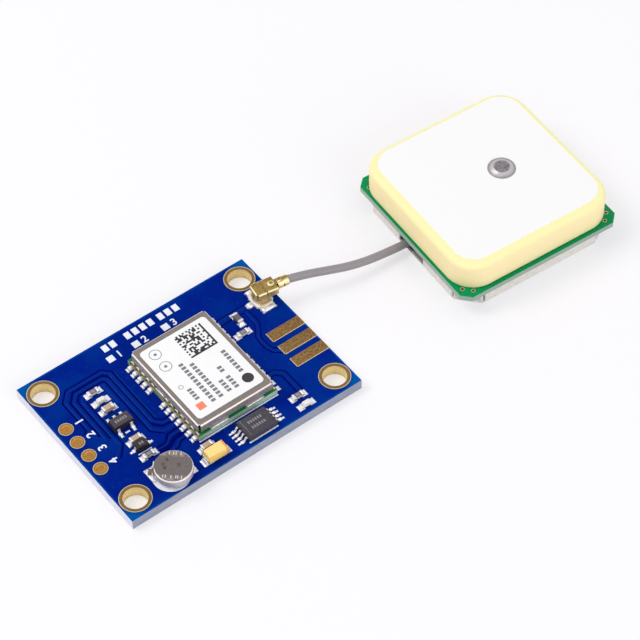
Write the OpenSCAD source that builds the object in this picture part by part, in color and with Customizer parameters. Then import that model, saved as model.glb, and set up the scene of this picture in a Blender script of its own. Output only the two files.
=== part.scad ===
/* [Main board] */
// Length of the main board
board_l = 35.4; // [34:0.1:40]
// Width of the main board
board_w = 25.6; // [25.2:0.1:30]
// Thickness of the main board
board_t = 1.6; // [1:0.1:2]
// Distance from the short edges to the mounting holes
hole_inset_x = 2.3; // [2.2:0.05:2.6]
// Distance from the long edges to the mounting holes
hole_inset_y = 2.6; // [2.2:0.05:2.7]
// Diameter of the plated mounting holes
hole_d = 3.2; // [2:0.1:3.3]
// Width of the gold ring around a mounting hole
hole_ring_w = 0.5; // [0.2:0.05:0.55]
// Wall of the plating inside the holes
plating_t = 0.1; // [0.05:0.01:0.12]
// Thickness of the pads on the board
pad_t = 0.05; // [0.03:0.01:0.1]

/* [Header and edge pads] */
// Spacing of the header holes
header_pitch = 2.54; // [2.4:0.01:2.7]
// Distance from the board's edge to the header holes
header_inset = 1.47; // [1.2:0.01:2]
// Diameter of the header holes
header_hole_d = 1.2; // [0.8:0.05:1.3]
// Width of the ring around a header hole
header_ring_w = 0.37; // [0.2:0.01:0.5]
// Length of an edge pad
edge_pad_l = 5.15; // [3:0.05:5.5]
// Width of an edge pad
edge_pad_w = 1.7; // [1.2:0.05:2]
// Spacing of the edge pads
edge_pad_pitch = 2.55; // [2.4:0.01:2.8]

/* [Receiver] */
// Length of the receiver's board along X
receiver_l = 12.2; // [12:0.1:12.6]
// Width of the receiver's board along Y
receiver_w = 15.5; // [15.4:0.1:16]
// Thickness of the receiver's board
receiver_board_t = 0.8; // [0.6:0.05:1.2]
// Length of the receiver's shield
shield_l = 11.6; // [11.2:0.1:11.7]
// Width of the receiver's shield
shield_w = 15; // [14.6:0.1:15.1]
// Height of the receiver's shield
shield_h = 1.55; // [1.4:0.05:2.5]
// Sheet thickness of the receiver's shield
shield_sheet = 0.15; // [0.1:0.01:0.2]
// Outer bend radius of the receiver's shield
shield_bend_r = 0.25; // [0.22:0.01:0.3]
// Open slit at each corner of the receiver's shield
shield_slit = 0.32; // [0.3:0.01:0.8]
// Spacing of the receiver's solder joints
joint_pitch = 1.1; // [1.05:0.01:1.15]
// Distance from the receiver's end to its first solder joint
joint_end = 0.87; // [0.8:0.01:1.2]
// Radius of the half-round notches at the receiver's edge
joint_r = 0.3; // [0.2:0.02:0.35]
// Length of the label
label_l = 10.2; // [8:0.1:10.2]
// Width of the label
label_w = 13.2; // [10:0.1:13.7]
// Thickness of the label
label_t = 0.1; // [0.05:0.01:0.2]

/* [Backup cell] */
// Diameter of the cell
cell_d = 4.95; // [4:0.05:5]
// Height of the cell
cell_h = 1.6; // [1.2:0.1:2]
// Width of the cell's tabs
cell_tab_w = 2.75; // [1.6:0.05:3]
// Thickness of the cell's tabs
cell_tab_t = 0.1; // [0.1:0.01:0.2]

/* [Moulded parts] */
// Length of the tantalum capacitor
tantalum_l = 3.2; // [2.8:0.1:3.4]
// Width of the tantalum capacitor
tantalum_w = 1.6; // [1.2:0.1:1.8]
// Height of the tantalum capacitor's case
tantalum_h = 1.5; // [1:0.1:2]
// Length of the memory chip's case
memory_l = 4.4; // [4.2:0.1:4.6]
// Width of the memory chip's case
memory_w = 3; // [2.8:0.1:3.2]
// Height of the memory chip's case
memory_h = 0.9; // [0.8:0.1:1.2]
// Spacing of the memory chip's leads
memory_pitch = 0.65; // [0.6:0.01:0.7]
// Length of the regulator's case
regulator_l = 2.9; // [2.8:0.1:3]
// Width of the regulator's case
regulator_w = 1.6; // [1.5:0.1:1.7]
// Height of the regulator's case
regulator_h = 1.05; // [0.9:0.05:1.3]
// Spacing of the regulator's leads
regulator_pitch = 0.95; // [0.9:0.01:1]
// Length of the diode's case
diode_l = 1.7; // [1.6:0.1:1.9]
// Width of the diode's case
diode_w = 1.25; // [1.1:0.05:1.3]
// Height of the diode's case
diode_h = 0.85; // [0.7:0.05:1.2]

/* [Chips] */
// Length of the small chips
chip_l = 1.6; // [1.5:0.05:1.7]
// Width of the small chips
chip_w = 0.8; // [0.7:0.05:0.9]
// Height of a chip resistor
resistor_h = 0.45; // [0.35:0.05:0.6]
// Height of a chip capacitor
capacitor_h = 0.8; // [0.6:0.05:0.9]
// Height of the feed inductor
inductor_h = 0.7; // [0.5:0.05:0.9]
// Length of a chip's metal end
chip_end_l = 0.32; // [0.2:0.02:0.4]
// Thickness of a chip's metal end
chip_end_t = 0.03; // [0.02:0.01:0.05]
// Height of a light's base
led_base_h = 0.25; // [0.2:0.05:0.4]
// Height of a light's lens
led_lens_h = 0.4; // [0.3:0.05:0.6]

/* [Coaxial connector] */
// Width of the socket's base
socket_w = 2.6; // [2.5:0.05:2.7]
// Height of the socket's base
socket_base_h = 0.4; // [0.3:0.05:0.5]
// Diameter of the socket's shell
socket_ring_d = 2; // [1.8:0.05:2.1]
// Wall of the socket's and plug's shells
shell_wall = 0.15; // [0.1:0.01:0.18]
// Height of the socket's shell above its base
socket_ring_h = 0.85; // [0.7:0.05:0.9]
// Gap between the plug's shell and the socket's shell
mate_gap = 0.02; // [0.01:0.01:0.05]
// Height of the plug's top above the socket's pads
plug_h = 2.4; // [2.3:0.05:2.8]
// Width of the plug's top plate
plug_plate_w = 2.4; // [2.2:0.05:2.6]
// Outer bend radius of the plug's folds
plug_bend_r = 0.25; // [0.2:0.01:0.3]
// Distance from the socket's axis to the rear of the plug's top plate
plug_reach = 2.1; // [1.8:0.05:2.4]
// Length of the plug's crimp
crimp_l = 1.55; // [1.4:0.05:2.2]
// Angle of the plug about the socket
plug_turn = -8; // [-15:1:0]

/* [Antenna] */
// Diameter of the antenna lead
cable_d = 1.13; // [1:0.01:1.2]
// Angle of the antenna to the main board
antenna_turn = -3.7; // [-6:0.1:-2]
// Side of the antenna's board
antenna_side = 25.2; // [25:0.1:26]
// Thickness of the antenna's board
antenna_board_t = 0.8; // [0.6:0.1:1.2]
// Corner cut of the antenna's board
antenna_corner = 1.2; // [0.8:0.1:1.4]
// Side of the ceramic block
ceramic_side = 24.6; // [23:0.1:24.6]
// Height of the ceramic block
ceramic_h = 4; // [3:0.1:6]
// Radius of the ceramic block's upright corners
ceramic_corner_r = 4; // [3:0.1:5]
// Radius of the ceramic block's upper edge
ceramic_edge_r = 0.7; // [0.4:0.05:0.75]
// Bare border around the electrode
electrode_border = 1.05; // [1:0.05:3]
// Thickness of the silver layers
silver_t = 0.05; // [0.03:0.01:0.1]
// Diameter of the feed pin
feed_d = 0.9; // [0.7:0.05:1.1]
// Diameter of the feed pin's head
feed_head_d = 2.2; // [1.6:0.1:2.6]
// Diameter of the solder around the feed pin
feed_solder_d = 3.8; // [3:0.1:4.4]
// Side of the antenna's shield
tray_side = 24.4; // [24:0.1:24.8]
// Height of the antenna's shield
tray_h = 2.5; // [2.3:0.1:3.5]
// Sheet thickness of the antenna's shield
tray_sheet = 0.3; // [0.2:0.05:0.4]
// Corner cut of the antenna's shield
tray_corner = 3.2; // [2.6:0.1:3.6]
// Width of the opening for the antenna lead
lead_gate_w = 5.4; // [4:0.1:6]

/* [Hidden] */
$fn = 48;

// Heights of the main board's faces
pad_top = board_t + pad_t;
receiver_top = pad_top + receiver_board_t;
shield_top = receiver_top + shield_h;

// Gold holes and pads
hole_x = board_l / 2 - hole_inset_x;
hole_y = board_w / 2 - hole_inset_y;
hole_places = [for (x = [-hole_x, hole_x], y = [-hole_y, hole_y]) [x, y]];
header_x = header_inset - board_l / 2;
header_y = -0.07;
header_count = 4;
header_steps = [for (i = [0:header_count - 1]) i - (header_count - 1) / 2];
header_places = [for (i = header_steps) [header_x, header_y + i * header_pitch]];
edge_pad_x = board_l / 2 - edge_pad_l / 2;
edge_pad_y = -2.75;

// Solder joints along the receiver's long sides, in two runs
joint_runs = [5, 7];
joint_gap = 3;
joint_first = receiver_w / 2 - joint_end;
joint_second = joint_first - (joint_runs[0] - 1) * joint_pitch - joint_gap;
joint_ys = concat(
    [for (i = [0:joint_runs[0] - 1]) joint_first - i * joint_pitch],
    [for (i = [0:joint_runs[1] - 1]) joint_second - i * joint_pitch]
);
joint_foot = 0.4;
joint_fill_h = 0.5;
joint_pad_w = 0.7;
joint_pad_l = 1.6;
label_corner_r = 0.55;
foot_w = 2.9;
foot_gap_h = 0.3;
end_feet = [-0.237, 0.237];
side_feet = [-0.313, 0, 0.313];

// Moulded cases and bent leads
case_draft = 0.08;
case_lift = 0.08;
lead_t = 0.14;
lead_bend_share = 0.4;
memory_lead_w = 0.3;
memory_lead_l = 1;
memory_foot = 0.5;
memory_side_leads = 4;
regulator_lead_w = 0.4;
regulator_lead_l = 0.62;
regulator_foot = 0.35;
regulator_leads_at = [[-1, 1], [0, 1], [1, 1], [-1, -1], [1, -1]];
diode_lead_w = 0.35;
diode_lead_l = 0.45;
diode_foot = 0.25;
dimple_d = 0.5;
dimple_depth = 0.05;
tantalum_end_t = 0.1;
tantalum_end_w = 1.2;
tantalum_end_h = 0.9;
tantalum_foot_l = 0.8;
tantalum_draft = 0.12;

// Pads that stick out past the parts that they carry
chip_pad_l = 0.86;
chip_pad_w = 0.95;
chip_pad_out = 0.47;
lead_pad_extra = 0.5;
tantalum_pad_l = 1.4;
cell_pad_l = 1.5;
cell_pad_w = 2.3;
cell_pad_places = [[-2.05, 1.5], [1.9, -0.3]];

// Places on the main board, taken from the edge or the part that each one lies along
column_inset = 7.35;
column_x = column_inset - board_l / 2;
feed_inset = 7.4;
feed_x = board_l / 2 - feed_inset;
front_y = -board_w / 2;
socket_inset = 2.2;
socket_x = board_l / 2 - socket_inset;
socket_hole_gap = 4.55;
socket_y = hole_y - socket_hole_gap;
receiver_feed_gap = 2.3;
receiver_x = feed_x - receiver_feed_gap - receiver_l / 2;
receiver_front = 4.82;
receiver_y = front_y + receiver_front + receiver_w / 2;
cell_shift = 0.8;
cell_x = column_x + cell_shift;
cell_front = 2.65;
cell_y = front_y + cell_front;
cell_turn = -42;
regulator_y = 0.1;
diode_y = -4.3;

// Chips of the column, and offsets of the chips that follow another part
upper_resistor_y = 6.35;
upper_light_y = 4.65;
upper_capacitor_y = 3;
lower_capacitor_y = -3.05;
lower_resistor_y = -5.9;
front_resistor = [-0.55, 2.85];
front_light = [-0.5, 1.2];
front_capacitor = [-0.15, 1.7];
feed_resistor_drop = 3.2;
inductor_offset = [0.8, -0.95];

// Row along the front edge: the free room is shared out beside its two larger parts
tantalum_front = 1.7;
tantalum_y = front_y + tantalum_front;
memory_front = 2.3;
memory_y = front_y + memory_front;
row_left = cell_x + cell_pad_places[1][0] + cell_pad_l / 2;
row_right = feed_x + front_resistor[0] - chip_l / 2 - chip_pad_out;
tantalum_span = tantalum_l + 2 * chip_pad_out;
memory_span = memory_l + 2 * memory_lead_l + 2 * lead_pad_extra;
row_free = row_right - row_left - tantalum_span - memory_span;
row_left_share = 0.255;
row_right_share = 0.497;
tantalum_x = row_left + row_left_share * row_free + tantalum_span / 2;
memory_x = row_right - row_right_share * row_free - memory_span / 2;

// Places of the chips, as [along X, along Y, angle]
resistor_places = [
    [column_x, upper_resistor_y, 0],
    [column_x, lower_resistor_y, 0],
    [feed_x + front_resistor[0], front_y + front_resistor[1], 0],
    [feed_x, socket_y - feed_resistor_drop, 0]
];
capacitor_places = [
    [column_x, upper_capacitor_y, 0],
    [column_x, lower_capacitor_y, 0],
    [tantalum_x + front_capacitor[0], tantalum_y + front_capacitor[1], 0]
];
led_places = [
    [column_x, upper_light_y, 0],
    [feed_x + front_light[0], front_y + front_light[1], 0]
];
inductor_places = [[feed_x + inductor_offset[0], socket_y + inductor_offset[1], 90]];

// Chips, and the solder at their ends
resistor_solder = 0.28;
capacitor_solder = 0.42;
inductor_solder = 0.38;
light_solder = 0.2;
tantalum_solder = 0.45;
coat_t = 0.03;
coat_margin = 0.1;
led_die_w = 0.25;
led_die_h = 0.12;
led_end_l = 0.2;
led_lens_gap = 0.02;
led_lens_draft = 0.1;

// Backup cell
cell_rim = 0.25;
cell_step = 0.35;
cell_groove = 0.12;
cell_leg_gap = 0.03;
cell_seat = pad_top + cell_tab_t;
cell_bend_r = 0.25;
cell_leg_w = 1;
cell_foot_l = 0.5;
weld_d = 0.45;
weld_depth = 0.04;
weld_places = [[-0.72, 0.63], [0.8, -0.15], [-1, -0.58]];

// Coaxial socket and plug, with heights above the pads
socket_pin_d = 0.5;
socket_pin_h = 0.6;
socket_tail_l = 2.3;
socket_tail_w = 0.6;
socket_tail_t = 0.15;
socket_leg_w = 2.2;
socket_leg_t = 0.12;
socket_leg_out = 0.85;
socket_corner = 0.35;
plug_skirt_gap = 0.25;
plug_skirt_z = socket_base_h + plug_skirt_gap;
plug_in_r = socket_ring_d / 2 + mate_gap;
plug_out_r = plug_in_r + shell_wall;
plug_floor_gap = 0.05;
plug_floor = socket_base_h + socket_ring_h + plug_floor_gap;
plug_ceiling = plug_h - shell_wall;
plug_front = 1.1;
wing_split = 0.4;
wing_split_w = 0.15;
wing_drop = [0.75, 1.1];
plug_notch = 0.28;
plug_flap_drop = 0.6;
plug_dimple_d = [0.9, 0.55];
plug_dimple_h = 0.12;
plug_dimple_inset = 0.55;
contact_wall = 0.15;
contact_r = socket_pin_d / 2 + mate_gap + contact_wall;
contact_arm_w = 0.4;
contact_arm_t = 0.3;
contact_arm_lift = 0.3;
contact_arm_z = plug_floor + contact_arm_lift;
contact_foot_gap = 0.1;
contact_z = socket_base_h + contact_foot_gap;
contact_h = contact_arm_z + contact_arm_t - contact_z;
crimp_sink = 0.05;
crimp_axis_z = plug_h - cable_d / 2 - shell_wall + crimp_sink;
crimp_gap = 0.02;
crimp_r = cable_d / 2 + crimp_gap;
crimp_neck = 0.3;
crimp_seat = 0.25;
crimp_slot_w = 0.8;
crimp_band_l = 0.7;
crimp_groove = 0.2;
crimp_seam = 0.1;

// Antenna lead: from the crimp's mouth, as [along X, along Y, share of the drop]
plug_mouth = plug_reach + crimp_neck + crimp_l;
mouth = [socket_x + plug_mouth * cos(plug_turn), socket_y + plug_mouth * sin(plug_turn)];
lead_high = pad_top + crimp_axis_z;
lead_lift = 0.45;
lead_low = tray_sheet + cable_d / 2 + lead_lift;
lead_sides = 8;
lead_points = [
    [0, 0, 0],
    [2.85, -0.8, 0.12],
    [5.65, -1.8, 0.26],
    [8.35, -2.5, 0.5],
    [11.35, -2.9, 0.75],
    [14.75, -3.15, 0.93],
    [17.15, -3.3, 1],
    [19.15, -3.45, 0.95],
    [21.15, -3.58, 0.85]
];
lead_start = (crimp_l - crimp_seat) * [cos(plug_turn), sin(plug_turn)];
lead_route = concat(
    [[mouth[0] - lead_start[0], mouth[1] - lead_start[1], lead_high]],
    [for (p = lead_points) [mouth[0] + p[0], mouth[1] + p[1], lead_high - p[2] * (lead_high - lead_low)]]
);
lead_last = lead_route[len(lead_route) - 1];
braid_d = 0.84;
braid_l = 1.4;
core_d = 0.3;
core_l = 1.2;
braid_solder_gap = 0.2;
braid_solder_l = 1.6;
braid_solder_w = 1.6;

// Antenna, in its own frame
antenna_reach = 29.3;
antenna_x = mouth[0] + antenna_reach;
antenna_drop = 5.3;
antenna_y = mouth[1] - antenna_drop;
antenna_z = tray_h;
ceramic_shift = [0.05, 0.3];
ceramic_z = antenna_z + antenna_board_t + silver_t;
electrode_z = ceramic_z + ceramic_h;
feed_at = [2.65, 0.6];
feed_gap = 0.05;
feed_head_t = 0.42;
feed_tail = 0.5;
feed_rim = 0.08;
electrode_r = 3;
electrode_shift = [0.25, 0.25];
tray_bend_r = 0.6;
tray_slit = 0.3;
tray_plate_w = tray_corner * sqrt(2) - 2 * tray_slit;
tray_plate_x = (tray_side - tray_corner) / sqrt(2);
lead_gate_y = 0.1;
corner_solder_r = 0.7;
via_d = 0.4;
via_inset = [0.9, 1.9];

// Parts on the hidden faces, as [along X, along Y, length, width, height]
receiver_chip_box = [-1.2, -2.6, 5, 5, 0.85];
oscillator_box = [-2.6, 4.2, 2.5, 2, 0.8];
receiver_filter_box = [2.8, 4.6, 1.4, 1.1, 0.5];
amplifier_box = [-2.6, -4.6, 2, 1.25, 0.9];
antenna_filter_box = [5.6, -4.2, 3, 3, 1.1];
small_chip_box = [1, 0.5, 0.35];
small_chip_places = [[-5.6, -1], [-5.6, -2.6], [-0.2, -3.2], [1.6, -3.2], [1.6, -5.2], [-0.2, -6.4]];

// Colours
mask_blue = [0.02, 0.14, 0.55];
gold = [0.72, 0.56, 0.28];
bright_gold = [0.85, 0.7, 0.38];
tin = [0.82, 0.82, 0.83];
solder_grey = [0.88, 0.88, 0.9];
nickel = [0.62, 0.58, 0.56];
board_green = [0.05, 0.5, 0.25];
label_white = [0.96, 0.96, 0.94];
case_black = [0.14, 0.13, 0.15];
tantalum_yellow = [0.95, 0.78, 0.36];
mlcc_tan = [0.76, 0.65, 0.56];
alumina = [0.85, 0.84, 0.82];
glass_grey = [0.33, 0.32, 0.34];
lens_white = [0.95, 0.95, 0.9];
die_yellow = [0.9, 0.85, 0.4];
plastic_cream = [0.93, 0.9, 0.84];
cable_grey = [0.6, 0.58, 0.59];
copper = [0.72, 0.45, 0.28];
ceramic_cream = [0.97, 0.91, 0.72];
silver_white = [0.94, 0.94, 0.93];
tray_grey = [0.84, 0.81, 0.8];

// Unit vector
function unit(v) = v / norm(v);

// Direction of the lead at point i of its route
function lead_dir(i) =
    unit(lead_route[min(i + 1, len(lead_route) - 1)] - lead_route[max(i - 1, 0)]);

// Point at angle a of the ring around point i of the lead
function lead_ring_point(i, a) =
    let (along = lead_dir(i), side = unit(cross([0, 0, 1], along)), up = cross(along, side))
    lead_route[i] + cable_d / 2 * (cos(a) * side + sin(a) * up);

// Box centred on the axis, standing on the plane
module slab(l, w, h) {
    translate([-l / 2, -w / 2, 0])
        cube([l, w, h]);
}

// Box given as [along X, along Y, length, width, height]
module part_box(b) {
    translate([b[0], b[1], 0])
        slab(b[2], b[3], b[4]);
}

// Rectangle with round corners
module round_rect(l, w, r) {
    square([l - 2 * r, w], center = true);
    square([l, w - 2 * r], center = true);
    for (x = [-1, 1], y = [-1, 1])
        translate([x * (l / 2 - r), y * (w / 2 - r)])
            circle(r);
}

// Square with cut corners
module cut_square(side, cut) {
    h = side / 2;
    k = h - cut;
    polygon([[h, -k], [h, k], [k, h], [-k, h], [-h, k], [-h, -k], [-k, -h], [k, -h]]);
}

// Outline of a sheet folded down at both sides
module fold_outline(span, h, r) {
    translate([-span / 2, 0])
        square([span, h - r]);
    translate([r - span / 2, 0])
        square([span - 2 * r, h]);
    for (x = [-1, 1])
        translate([x * (span / 2 - r), h - r])
            circle(r);
}

// Sheet folded down at both sides, running along Y
module folded_sheet(span, run, h, r, sheet) {
    rotate([90, 0, 0])
        linear_extrude(run, center = true)
            difference() {
                fold_outline(span, h, r);
                fold_outline(span - 2 * sheet, h - sheet, r - sheet);
            }
}

// Outline of a moulded case, widest at its middle
module case_outline(l, h, draft) {
    k = l / 2 - draft;
    polygon([[-k, 0], [-l / 2, h / 2], [-k, h], [k, h], [l / 2, h / 2], [k, 0]]);
}

// Moulded case with draft on all four sides
module moulded_case(l, w, h, draft) {
    intersection() {
        rotate([90, 0, 0])
            linear_extrude(w, center = true)
                case_outline(l, h, draft);
        rotate([90, 0, 90])
            linear_extrude(l, center = true)
                case_outline(w, h, draft);
    }
}

// Lead that leaves a case along +X at a height and bends down to a foot
module bent_lead(reach, rise, w, foot) {
    knee = reach - foot;
    bend = knee * lead_bend_share;
    rotate([90, 0, 0])
        linear_extrude(w, center = true)
            polygon([
                [0, rise], [bend, rise], [knee, lead_t], [reach, lead_t],
                [reach, 0], [knee - lead_t / 2, 0], [bend - lead_t / 2, rise - lead_t], [0, rise - lead_t]
            ]);
}

// Height of the upper face of a lead that leaves the middle of a case
function lead_rise(h) = case_lift + h / 2 + lead_t / 2;

// Children at each place of a list, at a height
module at_places(places, z) {
    for (p = places)
        translate([p[0], p[1], z])
            rotate(p[2])
                children();
}

// Children at each solder joint of the receiver, turned to face outwards
module at_joints(z) {
    for (side = [0, 180], y = joint_ys)
        translate([receiver_x, receiver_y, z])
            rotate(side)
                translate([receiver_l / 2, side == 0 ? y : -y, 0])
                    children();
}

// Children in the plug's frame
module in_plug() {
    translate([socket_x, socket_y, pad_top])
        rotate(plug_turn)
            children();
}

// Children in the antenna's frame
module in_antenna() {
    translate([antenna_x, antenna_y, 0])
        rotate(antenna_turn)
            children();
}

// Children along the lead's bared end, with +Z along the lead
module at_lead_end(along) {
    end_dir = lead_dir(len(lead_route) - 1);
    translate(lead_last)
        rotate([0, acos(end_dir[2]), atan2(end_dir[1], end_dir[0])])
            translate([0, 0, along])
                children();
}

// Ring and barrel of a plated hole through the main board
module plated_hole(d, ring_w) {
    ring_d = d + 2 * ring_w;
    difference() {
        union() {
            cylinder(d = d + 2 * plating_t, h = board_t);
            cylinder(d = ring_d, h = pad_t);
            translate([0, 0, board_t])
                cylinder(d = ring_d, h = pad_t);
        }
        translate([0, 0, -board_t])
            cylinder(d = d, h = 3 * board_t);
    }
}

// Room that a plated hole takes out of the main board
module plated_hole_room(d, ring_w) {
    translate([0, 0, -board_t])
        cylinder(d = d + 2 * plating_t, h = 3 * board_t);
    translate([0, 0, -board_t])
        cylinder(d = d + 2 * ring_w, h = board_t + pad_t);
}

// Edge pads of one face, at the given steps from the middle one
module edge_pad_row(steps, h) {
    for (i = steps)
        translate([edge_pad_x, edge_pad_y + i * edge_pad_pitch, 0])
            slab(edge_pad_l, edge_pad_w, h);
}

module circuit_board() {
    color(mask_blue)
        difference() {
            slab(board_l, board_w, board_t);
            for (p = hole_places)
                translate([p[0], p[1], 0])
                    plated_hole_room(hole_d, hole_ring_w);
            for (p = header_places)
                translate([p[0], p[1], 0])
                    plated_hole_room(header_hole_d, header_ring_w);
            edge_pad_row([-1, 1], pad_t);
        }
}

module mounting_hole_plating() {
    color(gold)
        for (p = hole_places)
            translate([p[0], p[1], 0])
                plated_hole(hole_d, hole_ring_w);
}

module header_hole_plating() {
    color(gold)
        for (p = header_places)
            translate([p[0], p[1], 0])
                plated_hole(header_hole_d, header_ring_w);
}

module edge_pads() {
    color(gold) {
        edge_pad_row([-1, 1], pad_t);
        translate([0, 0, board_t])
            edge_pad_row([-1, 0, 1], pad_t);
    }
}

// Two pads of a small chip
module chip_pads() {
    for (side = [-1, 1])
        translate([side * (chip_l / 2 + chip_pad_out - chip_pad_l / 2), 0, 0])
            slab(chip_pad_l, chip_pad_w, pad_t);
}

// Pad under the foot of a lead that reaches out from a case's side
module lead_pad(edge, reach, w, foot) {
    translate([edge + reach - foot / 2 + lead_pad_extra / 4, 0, 0])
        slab(foot + lead_pad_extra, w, pad_t);
}

module component_pads() {
    color(tin) {
        at_places(concat(resistor_places, capacitor_places, led_places, inductor_places), board_t)
            chip_pads();
        at_joints(board_t)
            slab(joint_pad_l, joint_pad_w, pad_t);
        at_memory_leads(board_t)
            lead_pad(memory_l / 2, memory_lead_l, memory_lead_w, memory_foot);
        at_regulator_leads(board_t)
            lead_pad(regulator_w / 2, regulator_lead_l, regulator_lead_w, regulator_foot);
        at_diode_leads(board_t)
            lead_pad(diode_l / 2, diode_lead_l, diode_lead_w, diode_foot);
        for (side = [-1, 1])
            translate([tantalum_x + side * (tantalum_span - tantalum_pad_l) / 2, tantalum_y, board_t])
                slab(tantalum_pad_l, tantalum_end_w, pad_t);
        for (p = cell_pad_places)
            translate([cell_x + p[0], cell_y + p[1], board_t])
                slab(cell_pad_l, cell_pad_w, pad_t);
        translate([socket_x, socket_y, board_t])
            socket_pads();
    }
}

module receiver_board() {
    color(board_green)
        difference() {
            translate([receiver_x, receiver_y, pad_top])
                slab(receiver_l, receiver_w, receiver_board_t);
            at_joints(0)
                cylinder(r = joint_r, h = receiver_top + board_t);
        }
}

// Room under the shield's walls that face along Y, between the feet
module foot_room(run, span, feet) {
    translate([0, 0, -foot_gap_h])
        difference() {
            slab(run, 2 * span, 2 * foot_gap_h);
            for (x = feet)
                translate([x, 0, -foot_gap_h])
                    slab(foot_w, 3 * span, 4 * foot_gap_h);
        }
}

module receiver_shield() {
    long_run = shield_w - 2 * shield_slit;
    short_run = shield_l - 2 * shield_slit;
    color(nickel)
        translate([receiver_x, receiver_y, receiver_top])
            difference() {
                union() {
                    folded_sheet(shield_l, long_run, shield_h, shield_bend_r, shield_sheet);
                    rotate(90)
                        folded_sheet(shield_w, short_run, shield_h, shield_bend_r, shield_sheet);
                }
                foot_room(short_run, shield_w, end_feet * shield_l);
                rotate(90)
                    foot_room(long_run, shield_l, side_feet * shield_w);
            }
}

module receiver_label() {
    color(label_white)
        translate([receiver_x, receiver_y, shield_top])
            linear_extrude(label_t)
                round_rect(label_l, label_w, label_corner_r);
}

module receiver_solder() {
    color(solder_grey)
        at_joints(pad_top) {
            cylinder(r = joint_r, h = joint_fill_h);
            intersection() {
                cylinder(r1 = joint_r + joint_foot, r2 = joint_r, h = joint_fill_h);
                translate([0, -joint_pad_w / 2, 0])
                    cube([joint_pad_l, joint_pad_w, joint_fill_h]);
            }
        }
}

module receiver_chip() {
    color(case_black)
        translate([receiver_x, receiver_y, receiver_top])
            part_box(receiver_chip_box);
}

module receiver_oscillator() {
    color(bright_gold)
        translate([receiver_x, receiver_y, receiver_top])
            part_box(oscillator_box);
}

module receiver_filter() {
    color(tin)
        translate([receiver_x, receiver_y, receiver_top])
            part_box(receiver_filter_box);
}

module backup_cell() {
    color(tin)
        translate([cell_x, cell_y, cell_seat])
            rotate_extrude()
                polygon([
                    [0, 0], [cell_d / 2 - cell_rim, 0], [cell_d / 2 - cell_rim, cell_step],
                    [cell_d / 2 - cell_rim - cell_groove, cell_step],
                    [cell_d / 2 - cell_rim - cell_groove, cell_step + cell_groove],
                    [cell_d / 2, cell_step + cell_groove], [cell_d / 2, cell_h - cell_groove],
                    [cell_d / 2 - cell_groove, cell_h], [0, cell_h]
                ]);
}

// Strip across the cell, cut to the outline of the cell's flat top
module cell_strip() {
    difference() {
        intersection() {
            cylinder(d = cell_d - 2 * cell_groove, h = cell_tab_t);
            rotate(cell_turn)
                slab(cell_d, cell_tab_w, cell_tab_t);
        }
        rotate(cell_turn)
            for (p = weld_places)
                translate([p[0], p[1], cell_tab_t - weld_depth])
                    cylinder(d = weld_d, h = cell_tab_t);
    }
}

// Quarter of a bend in a tab, in section
module tab_bend() {
    intersection() {
        difference() {
            circle(cell_bend_r);
            circle(cell_bend_r - cell_tab_t);
        }
        square(cell_bend_r);
    }
}

// Leg of the upper tab in section: over the cell's edge, down to the pad and out to a foot
module cell_leg_outline() {
    top = cell_h + 2 * cell_tab_t;
    wall_x = cell_d / 2 + cell_leg_gap;
    bend_x = wall_x + cell_tab_t - cell_bend_r;
    translate([cell_d / 4, top - cell_tab_t])
        square([bend_x - cell_d / 4, cell_tab_t]);
    translate([bend_x, top - cell_bend_r])
        tab_bend();
    translate([wall_x, cell_bend_r])
        square([cell_tab_t, top - 2 * cell_bend_r]);
    translate([wall_x + cell_bend_r, cell_bend_r])
        rotate(180)
            tab_bend();
    translate([wall_x + cell_bend_r, 0])
        square([cell_foot_l, cell_tab_t]);
}

module cell_upper_tab() {
    color(nickel) {
        translate([cell_x, cell_y, cell_seat + cell_h])
            cell_strip();
        translate([cell_x, cell_y, pad_top])
            rotate(180 + cell_turn)
                rotate([90, 0, 0])
                    linear_extrude(cell_leg_w, center = true)
                        cell_leg_outline();
    }
}

module cell_lower_tab() {
    color(nickel)
        translate([cell_x, cell_y, pad_top]) {
            intersection() {
                cylinder(d = cell_d - 2 * cell_rim, h = cell_tab_t);
                translate([0, cell_pad_places[1][1], 0])
                    slab(cell_d, cell_tab_w, cell_tab_t);
            }
            translate([cell_pad_places[1][0] / 2, cell_pad_places[1][1] - cell_pad_l / 2, 0])
                cube([cell_pad_places[1][0] / 2 + cell_pad_l / 2, cell_pad_l, cell_tab_t]);
        }
}

module tantalum_case() {
    color(tantalum_yellow)
        translate([tantalum_x, tantalum_y, pad_top + tantalum_end_t])
            moulded_case(tantalum_l - 2 * tantalum_end_t, tantalum_w, tantalum_h, tantalum_draft);
}

module tantalum_terminals() {
    end_x = tantalum_l / 2 - tantalum_end_t;
    color(tin)
        for (side = [0, 180])
            translate([tantalum_x, tantalum_y, pad_top])
                rotate(side) {
                    translate([end_x, -tantalum_end_w / 2, 0])
                        cube([tantalum_end_t, tantalum_end_w, tantalum_end_h]);
                    translate([end_x - tantalum_foot_l, -tantalum_end_w / 2, 0])
                        cube([tantalum_foot_l, tantalum_end_w, tantalum_end_t]);
                }
}

// Children at each lead of the memory chip, facing outwards
module at_memory_leads(z) {
    for (side = [0, 180], i = [0:memory_side_leads - 1])
        translate([memory_x, memory_y, z])
            rotate(side)
                translate([0, (i - (memory_side_leads - 1) / 2) * memory_pitch, 0])
                    children();
}

module memory_chip() {
    mark_x = dimple_d + case_draft - memory_l / 2;
    mark_y = dimple_d + case_draft - memory_w / 2;
    color(case_black)
        translate([memory_x, memory_y, pad_top + case_lift])
            difference() {
                moulded_case(memory_l, memory_w, memory_h, case_draft);
                translate([mark_x, mark_y, memory_h - dimple_depth])
                    cylinder(d = dimple_d, h = memory_h);
            }
}

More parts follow.
